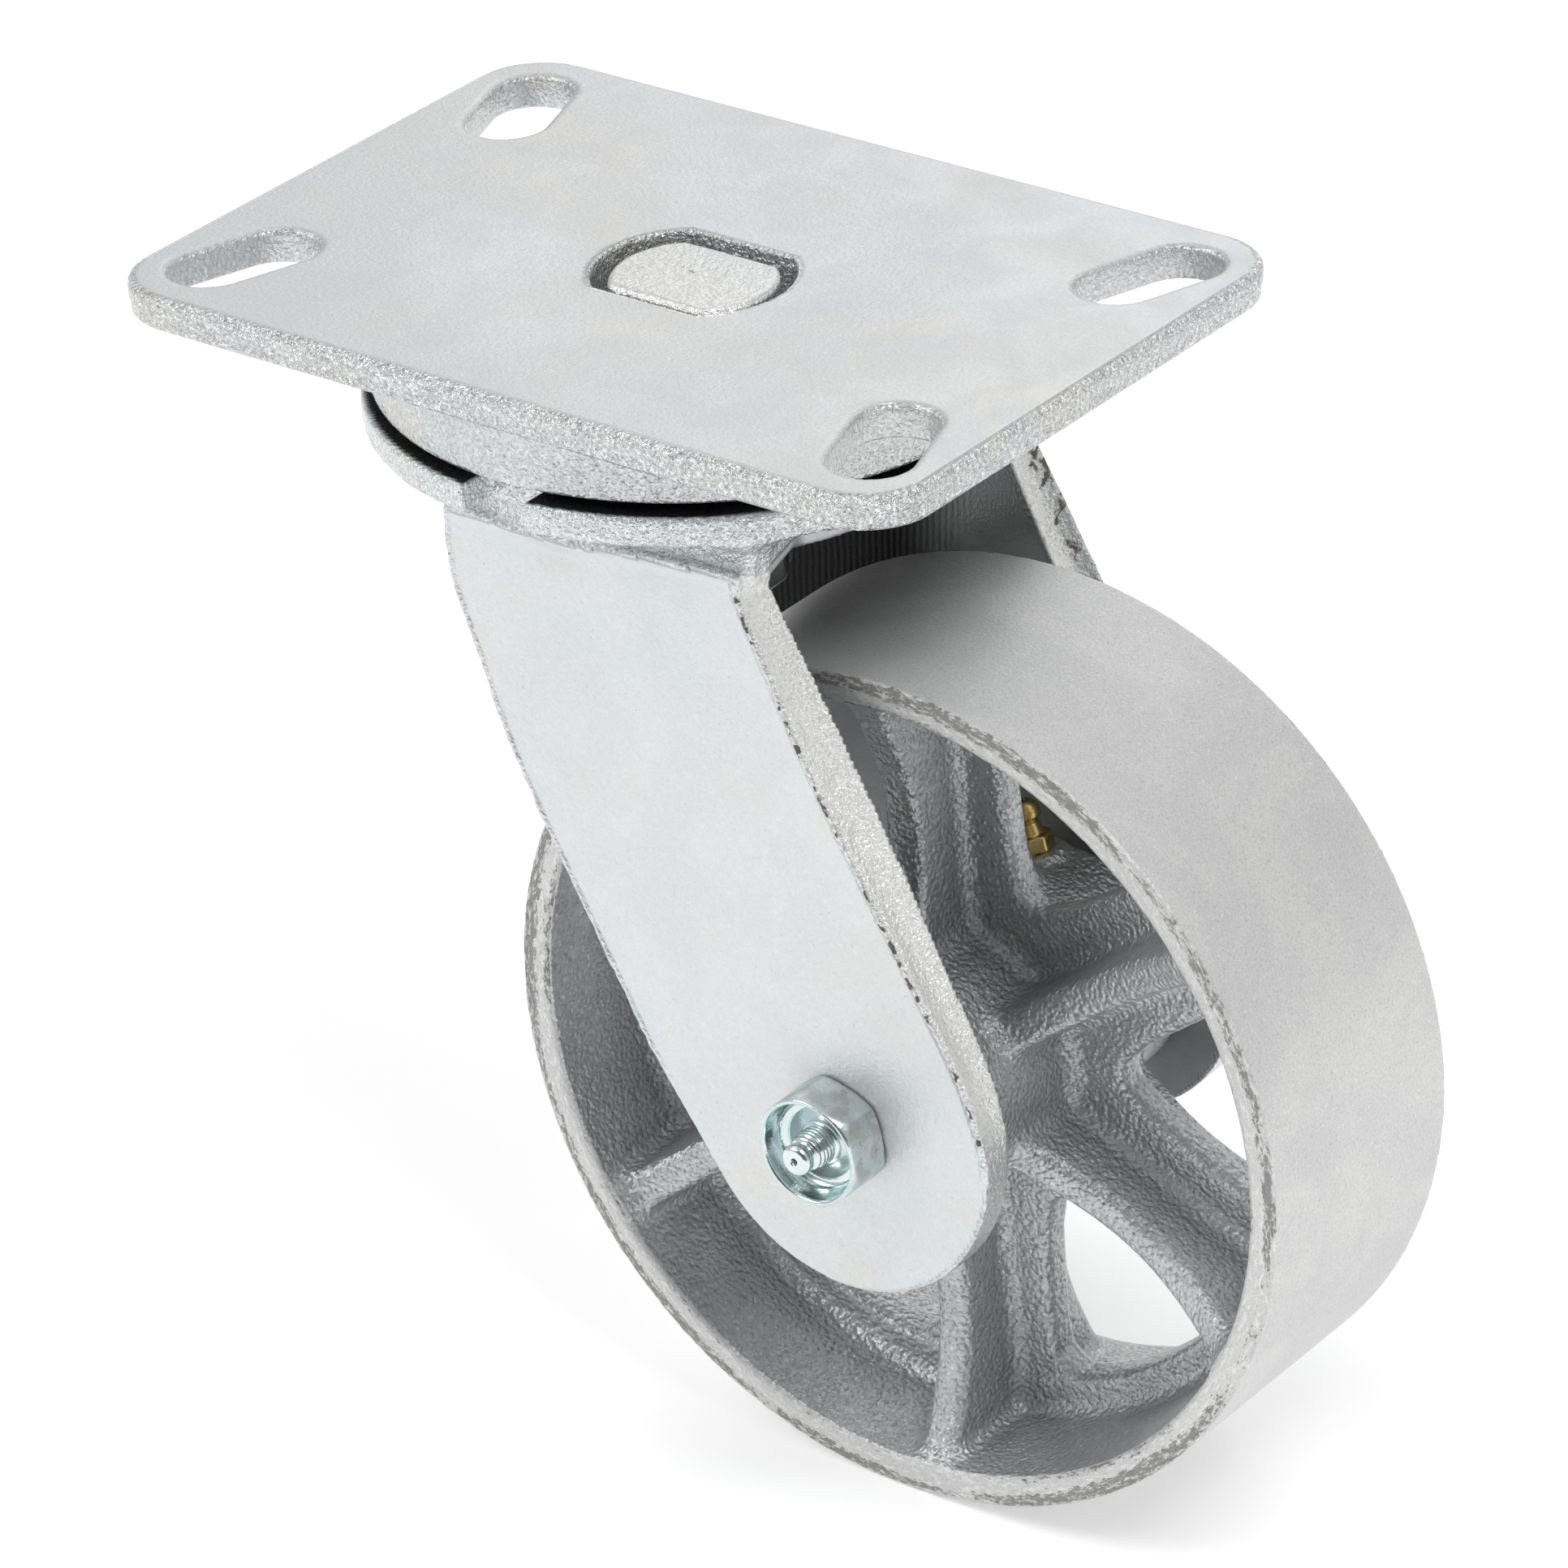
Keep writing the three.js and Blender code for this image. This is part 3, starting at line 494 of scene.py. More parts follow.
def turned(name, base, dark, rough=0.28, scale=1.0, metal=1.0, sides=False):
    """Turned or plated small metal part with fine tool marks, specks and recesses darkened as painted shade."""
    t = Tree(name)
    n1 = t.noise(160 * scale, 4, 0.6, 0.6)
    n2 = t.noise(1900 * scale, 3, 0.6)
    col = t.mix(t.remap(n1, 0.40, 0.66, 0, 0.5), base, dark)
    col = t.mix(t.remap(n2, 0.55, 0.8, 0, 0.35), col, tuple(c * 0.55 for c in base))
    col = t.mix(t.remap(t.attr("edge"), 0.3, 0.9, 0, 0.6), col, tuple(min(1.0, c * 1.18) for c in base))
    # painted shade: recesses darkened
    col = t.mix(t.remap(t.attr("recess_shade"), 0.45, 1.0, 0, 0.55), col, tuple(c * 0.5 for c in dark))
    r = t.lerp(n1, rough - 0.06, rough + 0.10)
    if sides:
        side = t.attr("side")
        col = t.mix(t.math("MULTIPLY", side, t.remap(t.noise(330, 5, 0.65, 0.5), 0.42, 0.62, 0.10, 0.65)), col, (0.44, 0.45, 0.43))
        col = t.mix(t.math("MULTIPLY", side, t.remap(t.noise(700, 4, 0.7), 0.60, 0.72, 0, 0.7)), col, (0.16, 0.15, 0.13))
        col = t.mix(t.math("MULTIPLY", t.attr("cup"), 0.75), col, (0.66, 0.77, 0.77))
        r = t.lerp(side, r, t.lerp(n2, 0.30, 0.46))
        r = t.lerp(t.attr("cup"), r, 0.07)
    h1 = t.bump(n2, 0.00006, 0.5)
    h2 = t.bump(t.noise(420 * scale, 2), 0.00010, 0.4, h1)
    return t.set(Base_Color=col, Metallic=metal, Roughness=r, Normal=h2)

def rubber(name):
    t = Tree(name)
    n = t.noise(900, 4, 0.65)
    col = t.mix(t.remap(n, 0.4, 0.7), (0.016, 0.018, 0.018), (0.045, 0.048, 0.047))
    col = t.mix(t.remap(t.noise(90, 3), 0.55, 0.75, 0, 0.4), col, (0.09, 0.09, 0.085))
    return t.set(Base_Color=col, Metallic=0.0, Roughness=t.lerp(n, 0.42, 0.62), Normal=t.bump(n, 0.00012, 0.7))

M_PLATE = zinc("zinc_plate", base=(0.64, 0.65, 0.648), cool=(0.63, 0.655, 0.675), warm=(0.67, 0.66, 0.62))
M_FORK = zinc("zinc_fork", base=(0.72, 0.735, 0.735), cool=(0.70, 0.735, 0.76), rough=0.40)
M_PIN = zinc("zinc_kingpin_head", base=(0.74, 0.74, 0.72), cool=(0.70, 0.715, 0.71), warm=(0.74, 0.73, 0.69), rough=0.44)
M_CAST = cast("cast_iron_painted")
M_BOLT = turned("blue_zinc_bolt", (0.66, 0.73, 0.75), (0.50, 0.585, 0.61), 0.20, sides=True)
M_ZERK = turned("blue_zinc_zerk", (0.72, 0.79, 0.81), (0.55, 0.63, 0.66), 0.14)
M_BRASS = turned("brass_fitting", (0.80, 0.60, 0.24), (0.62, 0.43, 0.14), 0.24)
M_STEEL = turned("turned_steel", (0.55, 0.555, 0.56), (0.40, 0.40, 0.405), 0.27)
M_BALL = turned("bearing_steel", (0.74, 0.74, 0.75), (0.62, 0.62, 0.63), 0.10)
M_CAGE = turned("cage_brass", (0.66, 0.52, 0.27), (0.47, 0.36, 0.18), 0.36)
M_RUBBER = rubber("seal_rubber")

# ------------------------------------------------------------------ top plate
def slot2(x, y):
    px, py = np.abs(x) - SLOT_X, np.abs(y) - SLOT_Y
    k = (px * SLOT_DX + py * SLOT_DY) / (SLOT_DX ** 2 + SLOT_DY ** 2)
    k = np.clip(k, -1, 1)
    return np.hypot(px - SLOT_DX * k, py - SLOT_DY * k) - SLOT_R

def dish(r):
    return 1.5 * (0.5 + 0.5 * np.cos(np.pi * np.clip((r - 18) / 32, 0, 1)))

def outline_plate(x, y):
    qx = np.abs(x) - (PLATE_L / 2 - PLATE_R); qy = np.abs(y) - (PLATE_W / 2 - PLATE_R)
    return np.hypot(np.maximum(qx, 0), np.maximum(qy, 0)) + np.minimum(np.maximum(qx, qy), 0) - PLATE_R

def f_plate(x, y, z):
    r = np.hypot(x, y)
    d2 = outline_plate(x, y)
    # rolled upper part of the sheared edge, then the step down to the torn part
    side = d2 + 0.32 * step01(z, -3.1, -4.0) * step01(z, -7.0, -5.2)
    slab = rmax(rmax(side, z + dish(r), 1.5), -PLATE_T - z, 1.2)
    boss = rmax(rmax(r - 53.8, -17.3 - z, 0.7), z + 2.5, 0.5)
    d = rmin(slab, boss, 2.7)
    cavity = rmax(r - 47.2, z + 13.0, 0.8)
    d = rmax(d, -np.maximum(cavity, -30 - z), 0.5)
    hub = rmax(r - 22.5, -15.2 - z, 0.8)
    d = rmin(d, np.maximum(hub, z + 5), 1.0)
    groove = np.hypot(r - 40.0, z + 16.25) - 5.06
    d = np.maximum(d, -groove)
    dd = np.maximum(r - 17.0, np.abs(y) - 13.4)
    d = rmax(d, -np.maximum(dd, -9.0 - z), 0.55)
    d = np.maximum(d, 9.8 - r)
    return rmax(d, -slot2(x, y), 0.8)

def build_plate():
    h = 0.62
    V, Q = surface(f_plate, (-80.5, -58.5, -18.6), (80.5, 58.5, 1.4), h)
    N = gradient(f_plate, V); N /= np.maximum(np.linalg.norm(N, axis=1, keepdims=True), 1e-9)
    x, y, z = V.T
    r = np.hypot(x, y)
    d2 = outline_plate(x, y)
    sidewall = step01(np.abs(N[:, 2]), 0.75, 0.35)
    outer = step01(d2, -2.2, -0.5) * (z > -6.6)
    rim = step01(d2, -3.0, -1.2) * step01(np.abs(N[:, 2]), 0.985, 0.9)
    inslot = step01(slot2(x, y), 1.2, 0.2) * sidewall
    skirt = (z < -5.4) * 0.55
    pocket = step01(np.maximum(r - 17.0, np.abs(y) - 13.4), 0.9, 0.2) * (z > -9.5) * (r > 12)
    rough = np.clip(np.maximum.reduce([outer * sidewall, rim * 0.8, inslot * 0.45, skirt, pocket * 0.9]), 0, 1)
    edge, recess_shade = masks(f_plate, V, N)
    # ragged sheared edge and the small ripples of the forging under the plate
    amp = 0.13 * outer * sidewall + 0.05 * (z < -6.5)
    V = V + N * (amp * fbm(x, y, z, 2.2, 5))[:, None]
    V = np.clip(V, (-PLATE_L / 2, -PLATE_W / 2, -30), (PLATE_L / 2, PLATE_W / 2, 0))
    dirt = 0.25 * step01(z, -8, -16) * step01(r, 30, 47)
    # painted shade: the recesses darkened except in the pocket round the kingpin head, and the raceway ceiling inside
    # the skirt painted near-black
    me = make_mesh("top_plate_forged", V, Q, {"rough": rough, "edge": edge, "recess_shade": recess_shade * 0.6 * (1 - pocket), "dirt": dirt, "inner": 0 * x, "painted_shade_black": 0.9 * step01(z, -11.5, -13.5) * step01(r, 47.0, 46.0) * step01(r, 20, 25), "rib": 0 * x})
    add_piece("top_plate_forged", me, "plate", ["top_plate"], "plate_zinc", M_PLATE)

# ------------------------------------------------------------------ kingpin
def f_kingpin(x, y, z):
    r = np.hypot(x, y)
    top = z + 1.70 + 0.0006 * r * r
    head = rmax(rmax(r - 14.1, np.abs(y) - 10.5, 0.8), top, 1.0)
    head = rmax(head, -8.7 - z, 0.4)
    shank = rmax(r - 9.5 + 0.22 * step01(z, -38, -42) * (0.5 + 0.5 * np.cos(2 * np.pi * z / 1.6)), -57.5 - z, 1.4)
    shank = np.maximum(shank, z + 6)
    d = rmin(head, shank, 0.8)
    hole = np.hypot(x, z + 53.2) - 1.8
    return rmax(d, -hole, 0.3)

def build_kingpin():
    V, Q = surface(f_kingpin, (-16.5, -13.4, -58.6), (16.5, 13.4, -0.8), 0.42)
    N = gradient(f_kingpin, V); N /= np.maximum(np.linalg.norm(N, axis=1, keepdims=True), 1e-9)
    x, y, z = V.T
    r = np.hypot(x, y)
    edge, recess_shade = masks(f_kingpin, V, N)
    top = step01(z, -2.9, -2.2)
    V = V + N * ((0.07 * top + 0.05) * fbm(x, y, z, 2.6, 9))[:, None]
    dirt = 0.26 * top * step01(r, 13.0, 5.0)
    # painted shade: the head's recesses darkened and the shank inside the bore turned dull grey
    me = make_mesh("kingpin_forged", V, Q, {"rough": 0.75 * (z > -9) * (1 - top) + 0.3 * top, "edge": edge, "recess_shade": recess_shade * (z > -9), "dirt": dirt, "inner": 0.6 * (z < -9), "painted_shade_black": 0 * x, "rib": 0 * x})
    add_piece("kingpin_forged", me, "plate", ["kingpin"], "turned_steel", M_PIN)

# ------------------------------------------------------------------ fork
REAR = [(-23.2, -34.0), (-22.9, -41.7), (-21.6, -48.5), (-17.3, -59.7), (-13.0, -71.5), (-5.1, -87.6), (14.7, -123.4)]
END = [(AX + 29.5 * math.cos(a * DEG), AZ + 29.5 * math.sin(a * DEG)) for a in np.linspace(206, 360, 25)]
FRONT = [(82.2, -121.5), (79.9, -114.5), (76.6, -107.4), (68.5, -93.6), (60.7, -80.4), (53.7, -68.4), (47.9, -57.6), (42.4, -46.4), (38.8, -39.0), (36.6, -34.0)]

def smooth_chain(pts, n=6):
    """Catmull-Rom through the points, so that the long curves of the forging stay smooth."""
    p = np.array(pts, float)
    q = np.vstack([2 * p[0] - p[1], p, 2 * p[-1] - p[-2]])
    out = []
    for i in range(1, len(q) - 2):
        for t in np.linspace(0, 1, n, endpoint=False):
            a, b, c, d = q[i - 1], q[i], q[i + 1], q[i + 2]
            out.append(0.5 * ((2 * b) + (-a + c) * t + (2 * a - 5 * b + 4 * c - d) * t * t + (-a + 3 * b - 3 * c + d) * t ** 3))
    out.append(q[-2])
    return [tuple(v) for v in out]

LEG_OUTLINE = smooth_chain(REAR, 5) + END[1:] + smooth_chain(FRONT, 5) + [(36.4, -24.0), (-23.2, -24.0)]
LEG2 = Field2(LEG_OUTLINE, (-32, -165), (92, -16))

def ridge_z(x):
    return -34.0 + 2.6 * step01(x, -12, 38)

def f_leg(x, y, z):
    ay = np.abs(y)
    c = (LEG_IN + LEG_OUT) / 2
    o = LEG2(x, z)
    # the rear edge is drafted, wider at the inner face
    mid = 6.6 + 0.50 * np.clip(-34 - z, 0, 200)
    inw = np.clip((LEG_OUT - ay) / 6.4, 0, 1)
    o = o - 2.3 * inw * step01(x, mid + 3, mid - 3)
    # the sheared front edge leans the same way on both legs, further forwards with growing y
    lean = np.interp(z, [-130, -123, -115, -105, -93, -80, -68, -57, -46, -38, -34], [0, 0.5, 1.2, 1.7, 2.4, 3.4, 4.0, 3.9, 3.0, 2.2, 1.8])
    o = o - lean * np.where(y < 0, inw, 1 - inw) * step01(x, mid - 3, mid + 3)
    # the forged edge is a little hollow across the thickness
    w = np.clip(np.abs(ay - c) / 2.6, 0, 1)
    hollow = 0.62 * (1 - w * w) * step01(x, 15, 33) * step01(z, -128, -112)
    o = o + hollow
    # above the ridge the outer face steps in under the flange
    zr = ridge_z(x)
    step = 2.6 * step01(z - zr, 0.1, 1.7)
    return rmax(rmax(o, ay - LEG_OUT + step, 0.6), LEG_IN - ay, 0.45)

def f_fork(x, y, z):
    r = np.hypot(x, y)
    ay = np.abs(y)
    flange = rmax(rmax(r - 55.4, z + 19.0, 0.8), -24.2 - z, 1.1)
    body = rmax(r - 40.4, -33.7 - z, 0.8)
    body = np.maximum(body, z + 20)
    leg = np.maximum(f_leg(x, y, z), z + 21)
    core = rmin(body, leg, 3.0)
    d = rmin(flange, core, 7.0)
    raised = rmax(r - 27.6, z + 16.8, 0.8)
    d = rmin(d, np.maximum(raised, -26 - z), 1.2)
    # webs that carry the legs' upper ends into the crown
    gus = np.maximum(np.maximum(-33.4 - z, z + 21), np.maximum(15.0 - ay, ay - 37))
    gus = rmax(gus, np.maximum(x - 38.2 + 0.28 * np.clip(33 - ay, 0, 20), -23.0 - x), 1.3)
    d = rmin(d, gus, 1.2)
    # ridge along the legs' upper edge
    ridge = np.hypot(ay - (LEG_OUT - 0.85), z - ridge_z(x)) - 1.05
    ridge = np.maximum(ridge, np.maximum(-22.6 - x, x - 36.0))
    d = rmin(d, ridge, 0.8)
    groove = np.hypot(r - 40.0, z + 16.25) - 5.06
    d = rmax(d, -groove, 0.4)
    low = np.hypot(r - 17.5, z + 35.6) - 3.48
    d = np.maximum(d, -low)
    d = np.maximum(d, 11.5 - r)
    hole = np.hypot(x - AX, z - AZ) - 6.65
    d = rmax(d, -hole, 0.4)
    # swivel-lock notches
    m = np.maximum(np.abs(x), np.abs(y)); mn = np.minimum(np.abs(x), np.abs(y))
    notch = np.maximum(np.maximum(mn - 6.15, 47.6 - m), -24.6 - z)
    return rmax(d, -notch, 0.45)

def build_fork():
    h = 0.66
    V, Q = surface(f_fork, (-57, -57, -158.5), (84.8, 57, -15.6), h)
    N = gradient(f_fork, V); N /= np.maximum(np.linalg.norm(N, axis=1, keepdims=True), 1e-9)
    x, y, z = V.T
    ay = np.abs(y); r = np.hypot(x, y)
    edge, recess_shade = masks(f_fork, V, N)
    o = LEG2(x, z)
    isleg = (z < ridge_z(x)) & (ay > 32)
    strip = isleg * step01(o, -1.5, -0.4) * step01(np.abs(N[:, 1]), 0.92, 0.75)
    burr = isleg * np.exp(-((o + 0.55) / 0.55) ** 2) * (ay > 38.2) * step01(z, -136, -120)
    crown = (z > ridge_z(x) + 0.3) & (r > 30)
    rough = np.clip(np.maximum.reduce([strip * 0.50, crown * 0.75, burr * 0.6]), 0, 1)
    n_big = fbm(x, y, z, 4.0, 21)
    n_fine = fbm(x, y, z, 1.5, 33, 2)
    amp = 0.20 * crown * step01(z, -20, -22) + 0.10 * strip
    V = V + N * (amp * n_big)[:, None]
    # torn burr standing along the outer corner of the front edge
    V = V + N * (burr * (0.14 + 0.50 * np.maximum(n_fine, -0.35)))[:, None]
    lip = np.exp(-((z - ridge_z(x)) / 1.3) ** 2) * (ay > 37.4) * ((x > -23.5) & (x < 37))
    V = V + N * (lip * 0.22 * n_fine)[:, None]
    # worn dark patches on the far leg's front strip; nicks along the near one
    far_front = (y > 0) * strip * step01(x, 20, 36) * step01(z, -95, -60)
    nicks = step01(n_fine, -0.22, 0.12) * burr * (y < 0) * step01(x, 5 + 0.5 * np.clip(-34 - z, 0, 200), 11 + 0.5 * np.clip(-34 - z, 0, 200))
    dirt = np.clip(0.50 * far_front * step01(ay, 34.0, 37.5) + 0.85 * nicks + 0.30 * lip * step01(x, 22, 34), 0, 1)
    # painted shade: the legs' inner faces turned dull grey, and near-black deep under the crown, on the gusset fronts
    # and on the flange top, where the gap under the plate lies in shade
    inner = step01(N[:, 1] * np.sign(y), -0.4, -0.85) * (z < -26) * (ay > 30) * 1.0
    under = step01(z, -25.0, -26.5) * step01(ay, 36.0, 34.0) * (z > -40) * step01(x, 35.6, 34.4)
    deep_shade = inner * step01(z, -93, -80) * step01(x, 33, 15)
    inner = np.maximum(inner, under)
    painted_shade_black = np.maximum(step01(N[:, 2], 0.6, 0.95) * (z > -20.5) * step01(r, 54.9, 54.5), deep_shade)
    painted_shade_black = np.maximum(painted_shade_black, under * step01(ay, 33, 30))
    painted_shade_black = np.maximum(painted_shade_black, step01(z, -24.0, -25.0) * (z > -40) * step01(ay, 34, 31) * step01(x, 35.6, 34.4))
    rib = deep_shade * 0.6
    # the front strip is lightened as a painted highlight, fading out towards the leg's end; recesses get painted shade
    me = make_mesh("fork_forged", V, Q, {"rough": rough, "edge": edge, "recess_shade": recess_shade * 0.7, "dirt": dirt, "inner": inner, "painted_shade_black": painted_shade_black, "rib": rib, "buffed_strip_highlight": strip * (1 - dirt) * step01(z, -130, -114)})
    add_piece("fork_forged", me, "fork", ["fork_crown", "fork_leg_near", "fork_leg_far", "crown_weld_near", "crown_weld_far"], "fork_zinc", M_FORK)

# ------------------------------------------------------------------ wheel
def window_outline():
    slope = lambda x: math.tan(30 * DEG) * x - 13.2 / math.cos(30 * DEG) + (x - 31) * 0.06
    pts = [(36.5, slope(36.5)), (44, slope(44)), (51.5, slope(51.5))]
    c = [(63.2 * math.cos(a * DEG), 63.2 * math.sin(a * DEG)) for a in (14.5, 10, 5, 0)]
    top = [(31.4, 0), (32.2, 2.2), *pts, (56.2, slope(56) - 0.8), (59.2, 16.8), *c]
    low = [(x, -y) for x, y in reversed(top[1:-1])]
    return top + low

WINDOW = Field2(window_outline(), (20, -30), (76, 30), 0.2)
CREST_R = np.array([19, 24, 30, 38, 48, 58, 65, 70.4]); CREST_Y = np.array([18.4, 17.4, 15.6, 14.6, 14.8, 17.2, 20.2, 22.6])
_p = np.polyfit(CREST_R, CREST_Y, 4)
FIT_ANG = 104.5 * DEG

def f_wheel(x, y, z):
    X, Z = x - AX, z - AZ
    r = np.hypot(X, Z); ay = np.abs(y)
    th = np.arctan2(Z, X) - TURN * DEG
    s = 60 * DEG
    a = th - np.round(th / s) * s
    aa = np.abs(a)
    rin = 69.4 + 1.5 * np.clip((ay - 5) / 20.4, 0, 1) ** 1.2
    rim = rmax(rmax(r - WHEEL_R, ay - WHEEL_W / 2, 0.6), rin - r, 1.0)
    web = np.maximum(ay - 3.0 - 0.02 * np.maximum(40 - r, 0), r - 71)
    wx, wy = r * np.cos(aa), r * np.sin(aa)
    web = rmax(web, -WINDOW(wx, wy), 1.6)
    # mid ring: a low flange round the windows' outer edges
    flange = np.maximum(np.maximum(63.4 - r, r - 71), ay - 3.6)
    web = rmin(web, flange, 1.2)
    rr, ry = r * np.cos(30 * DEG - aa), r * np.sin(30 * DEG - aa)
    crest = np.polyval(_p, np.clip(r, 18, 70.4))
    half = 3.3 + 0.05 * np.maximum(crest - ay, 0)
    rib = rmax(np.abs(ry) - half, ay - crest, 2.0)
    rib = np.maximum(rib, np.maximum(r - 72, 16 - r))
    rib = np.maximum(rib, -rr)
    d = rmin(web, rib, 3.0)
    hub = rmax(r - 21.0 - 0.02 * (30.5 - ay), ay - 30.5, 1.0)
    d = rmin(d, hub, 3.4)
    d = rmin(d, rim, 3.2)
    d = rmax(d, 15.1 - r, 0.6)
    # tapped boss hole for the grease fitting
    t = X * math.cos(FIT_ANG) + Z * math.sin(FIT_ANG)
    q = np.hypot(-X * math.sin(FIT_ANG) + Z * math.cos(FIT_ANG), y - 25.2)
    pad = rmax(q - 5.6, t - 21.9, 0.5)
    d = rmin(d, np.maximum(pad, 17 - t), 1.4)
    hole = np.maximum(q - 2.6, 13 - t)
    return np.maximum(d, -np.maximum(hole, t - 26))

def build_wheel():
    h = 0.72
    R = WHEEL_R + 1.3
    V, Q = surface(f_wheel, (AX - R, -31.9, AZ - R), (AX + R, 31.9, AZ + R), h)
    N = gradient(f_wheel, V); N /= np.maximum(np.linalg.norm(N, axis=1, keepdims=True), 1e-9)
    x, y, z = V.T
    X, Z = x - AX, z - AZ
    r = np.hypot(X, Z); ay = np.abs(y)
    edge, recess_shade = masks(f_wheel, V, N, 1.6, 9.0)
    tread = step01(r, 75.3, 75.8)
    face = step01(ay, 24.3, 25.0) * (r > 69)
    ends = step01(ay, 29.6, 30.2) * (r < 24)
    mach = np.maximum.reduce([tread, face, ends])
    n1 = fbm(x, y, z, 4.5, 41, 3)
    castm = 1 - mach
    rag = fbm(x, y, z, 2.0, 57, 3)
    V = V + N * (castm * 0.045 * n1)[:, None]
    V = V + N * (face * -0.10 * np.maximum(rag, 0))[:, None]
    # dark pits gather along the outer and inner edge of the rim faces
    outer = np.exp(-((r - 74.9) / 1.25) ** 2); inner = np.exp(-((r - 70.9) / 0.9) ** 2)
    patch = 0.5 + 0.5 * noise3(x, y, z, 14, 77)
    dirt = face * np.clip(0.76 * outer * (0.45 + patch) + 0.55 * inner * patch + 0.24 * patch, 0, 0.80)
    dirt = np.maximum(dirt, tread * 0.10 * step01(ay, 24.6, 23.2))
    # painted shade: the cast recesses darkened
    me = make_mesh("wheel_cast", V, Q, {"mach": mach, "face": face, "edge": edge, "recess_shade": recess_shade * castm, "dirt": dirt})
    add_piece("wheel_cast", me, "wheel", ["wheel"], "wheel_cast_iron", M_CAST)

# ------------------------------------------------------------------ axle bolt, nut, fittings
def hex2(x, z, af, turn):
    best = None
    for i in range(6):
        a = (60 * i + turn) * DEG
        d = x * math.cos(a) + z * math.sin(a) - af / 2
        best = d if best is None else rmax(best, d, 0.5)
    return best

def f_bolt(x, y, z):
    X, Z = x - AX, z - AZ
    r = np.hypot(X, Z)
    face, seat = -48.4, -39.7
    d = hex2(X, Z, 19.05, 12)
    # chamfered corners: the cone that leaves the bright round-topped flats
    cone = (r - 9.45) * 0.66 - (y - face) * 0.62
    d = rmax(d, cone, 0.5)
    d = rmax(d, r - 10.35, 1.2)
    d = rmax(d, (r - 10.1) * 0.6 - (seat - y) * 0.7, 0.5)
    d = rmax(d, face - y, 0.30)
    d = rmax(d, y - seat, 0.35)
    prof_r = np.interp(y, [face - 1, face, face + 0.6, face + 2.2, face + 4.6], [9.1, 8.95, 8.6, 8.3, 8.0])
    cup = rmax((r - prof_r) * 0.95, y - (face + 4.6), 1.2)
    d = rmax(d, -cup, 0.30)
    return d

def build_bolt():
    V, Q = surface(f_bolt, (AX - 11.8, -49.4, AZ - 11.8), (AX + 11.8, -38.9, AZ + 11.8), 0.30)
    N = gradient(f_bolt, V); N /= np.maximum(np.linalg.norm(N, axis=1, keepdims=True), 1e-9)
    edge, recess_shade = masks(f_bolt, V, N, 0.7, 3.0)
    x, y, z = V.T
    rad = np.hypot(x - AX, z - AZ)
    cup = step01(rad, 8.95, 8.75) * (y < -43.2)
    outside = step01(rad, 8.9, 9.4)
    # painted shade: recesses outside the cup darkened
    recess_shade = recess_shade * outside
    V = V + N * (0.05 * outside * fbm(x, y, z, 1.6, 61))[:, None]
    # shank with rolled threads at its far end
    prof = [(0.01, -44.0), (6.35, -44.0), (6.35, 33.0)]
    y0 = 34.0
    while y0 < 53.6:
        prof += [(6.33, y0), (6.33, y0 + 0.25), (5.75, y0 + 0.8), (5.75, y0 + 0.95)]
        y0 += 1.5
    prof += [(6.2, 54.3), (5.4, 55.4), (0.01, 55.4)]
    V2, Q2 = lathe(prof, "y", (AX, 0, AZ), 64)
    Va, Qa = join([(V, Q), (V2, Q2)])
    z2 = np.zeros(len(V2))
    me = make_mesh("axle_bolt_cupped", Va, Qa, {"edge": np.concatenate([edge * outside, z2]), "recess_shade": np.concatenate([recess_shade, z2]), "side": np.concatenate([outside * step01(y, -48.2, -47.4), z2]), "cup": np.concatenate([cup, z2])})
    add_piece("axle_bolt_cupped", me, "fork", ["axle_bolt"], "bolt_zinc", M_BOLT)
    # grease fitting in the cup: ball tip with its check-ball hole, neck, threaded stem
    f = -48.4
    prof = [(0.01, f - 1.9), (0.55, f - 1.95), (0.60, f - 3.15), (0.85, f - 3.3), (2.05, f - 3.25), (2.45, f - 3.0), (2.68, f - 2.5), (2.72, f - 1.5), (2.5, f - 1.15),
            (2.15, f - 1.0), (2.1, f - 0.5), (2.5, f - 0.35), (2.95, f - 0.15), (3.05, f + 0.25), (2.75, f + 0.5)]
    for i in range(4):
        b = f + 0.6 + 0.78 * i
        prof += [(2.75, b), (3.2 + 0.05 * i, b + 0.14), (3.25 + 0.05 * i, b + 0.46), (2.8, b + 0.66)]
    prof += [(3.3, f + 3.9), (4.0, f + 4.1), (4.1, f + 4.9), (0.01, f + 4.9)]
    V3, Q3 = lathe(prof, "y", (AX, 0, AZ), 48)
    # painted shade: the check-ball hole in the tip darkened
    tip_hole_shade = 0.9 * (np.hypot(V3[:, 0] - AX, V3[:, 2] - AZ) < 0.7) * (V3[:, 1] > f - 3.2)
    me = make_mesh("axle_zerk", V3, Q3, {"edge": np.zeros(len(V3)), "recess_shade": tip_hole_shade})
    add_piece("axle_zerk", me, "fork", ["axle_grease_fitting"], "bolt_zinc", M_ZERK)

def f_nut(x, y, z):
    X, Z = x - AX, z - AZ
    r = np.hypot(X, Z)
    a, b = 39.7, 50.9
    d = hex2(X, Z, 19.05, 12)
    d = rmax(d, (r - 10.2) * 0.6 - (y - a) * 0.8, 0.3)
    d = rmax(d, a - y, 0.3)
    d = rmax(d, y - (b - 3.2), 0.3)
    d = rmax(d, (r - 9.9) * 0.7 + (y - (b - 3.6)) * 0.7, 0.3)
    collar = rmax(rmax(r - 8.9, y - b, 0.9), a + 1 - y, 0.1)
    d = rmin(d, collar, 0.5)
    return rmax(d, 6.65 - r, 0.4)

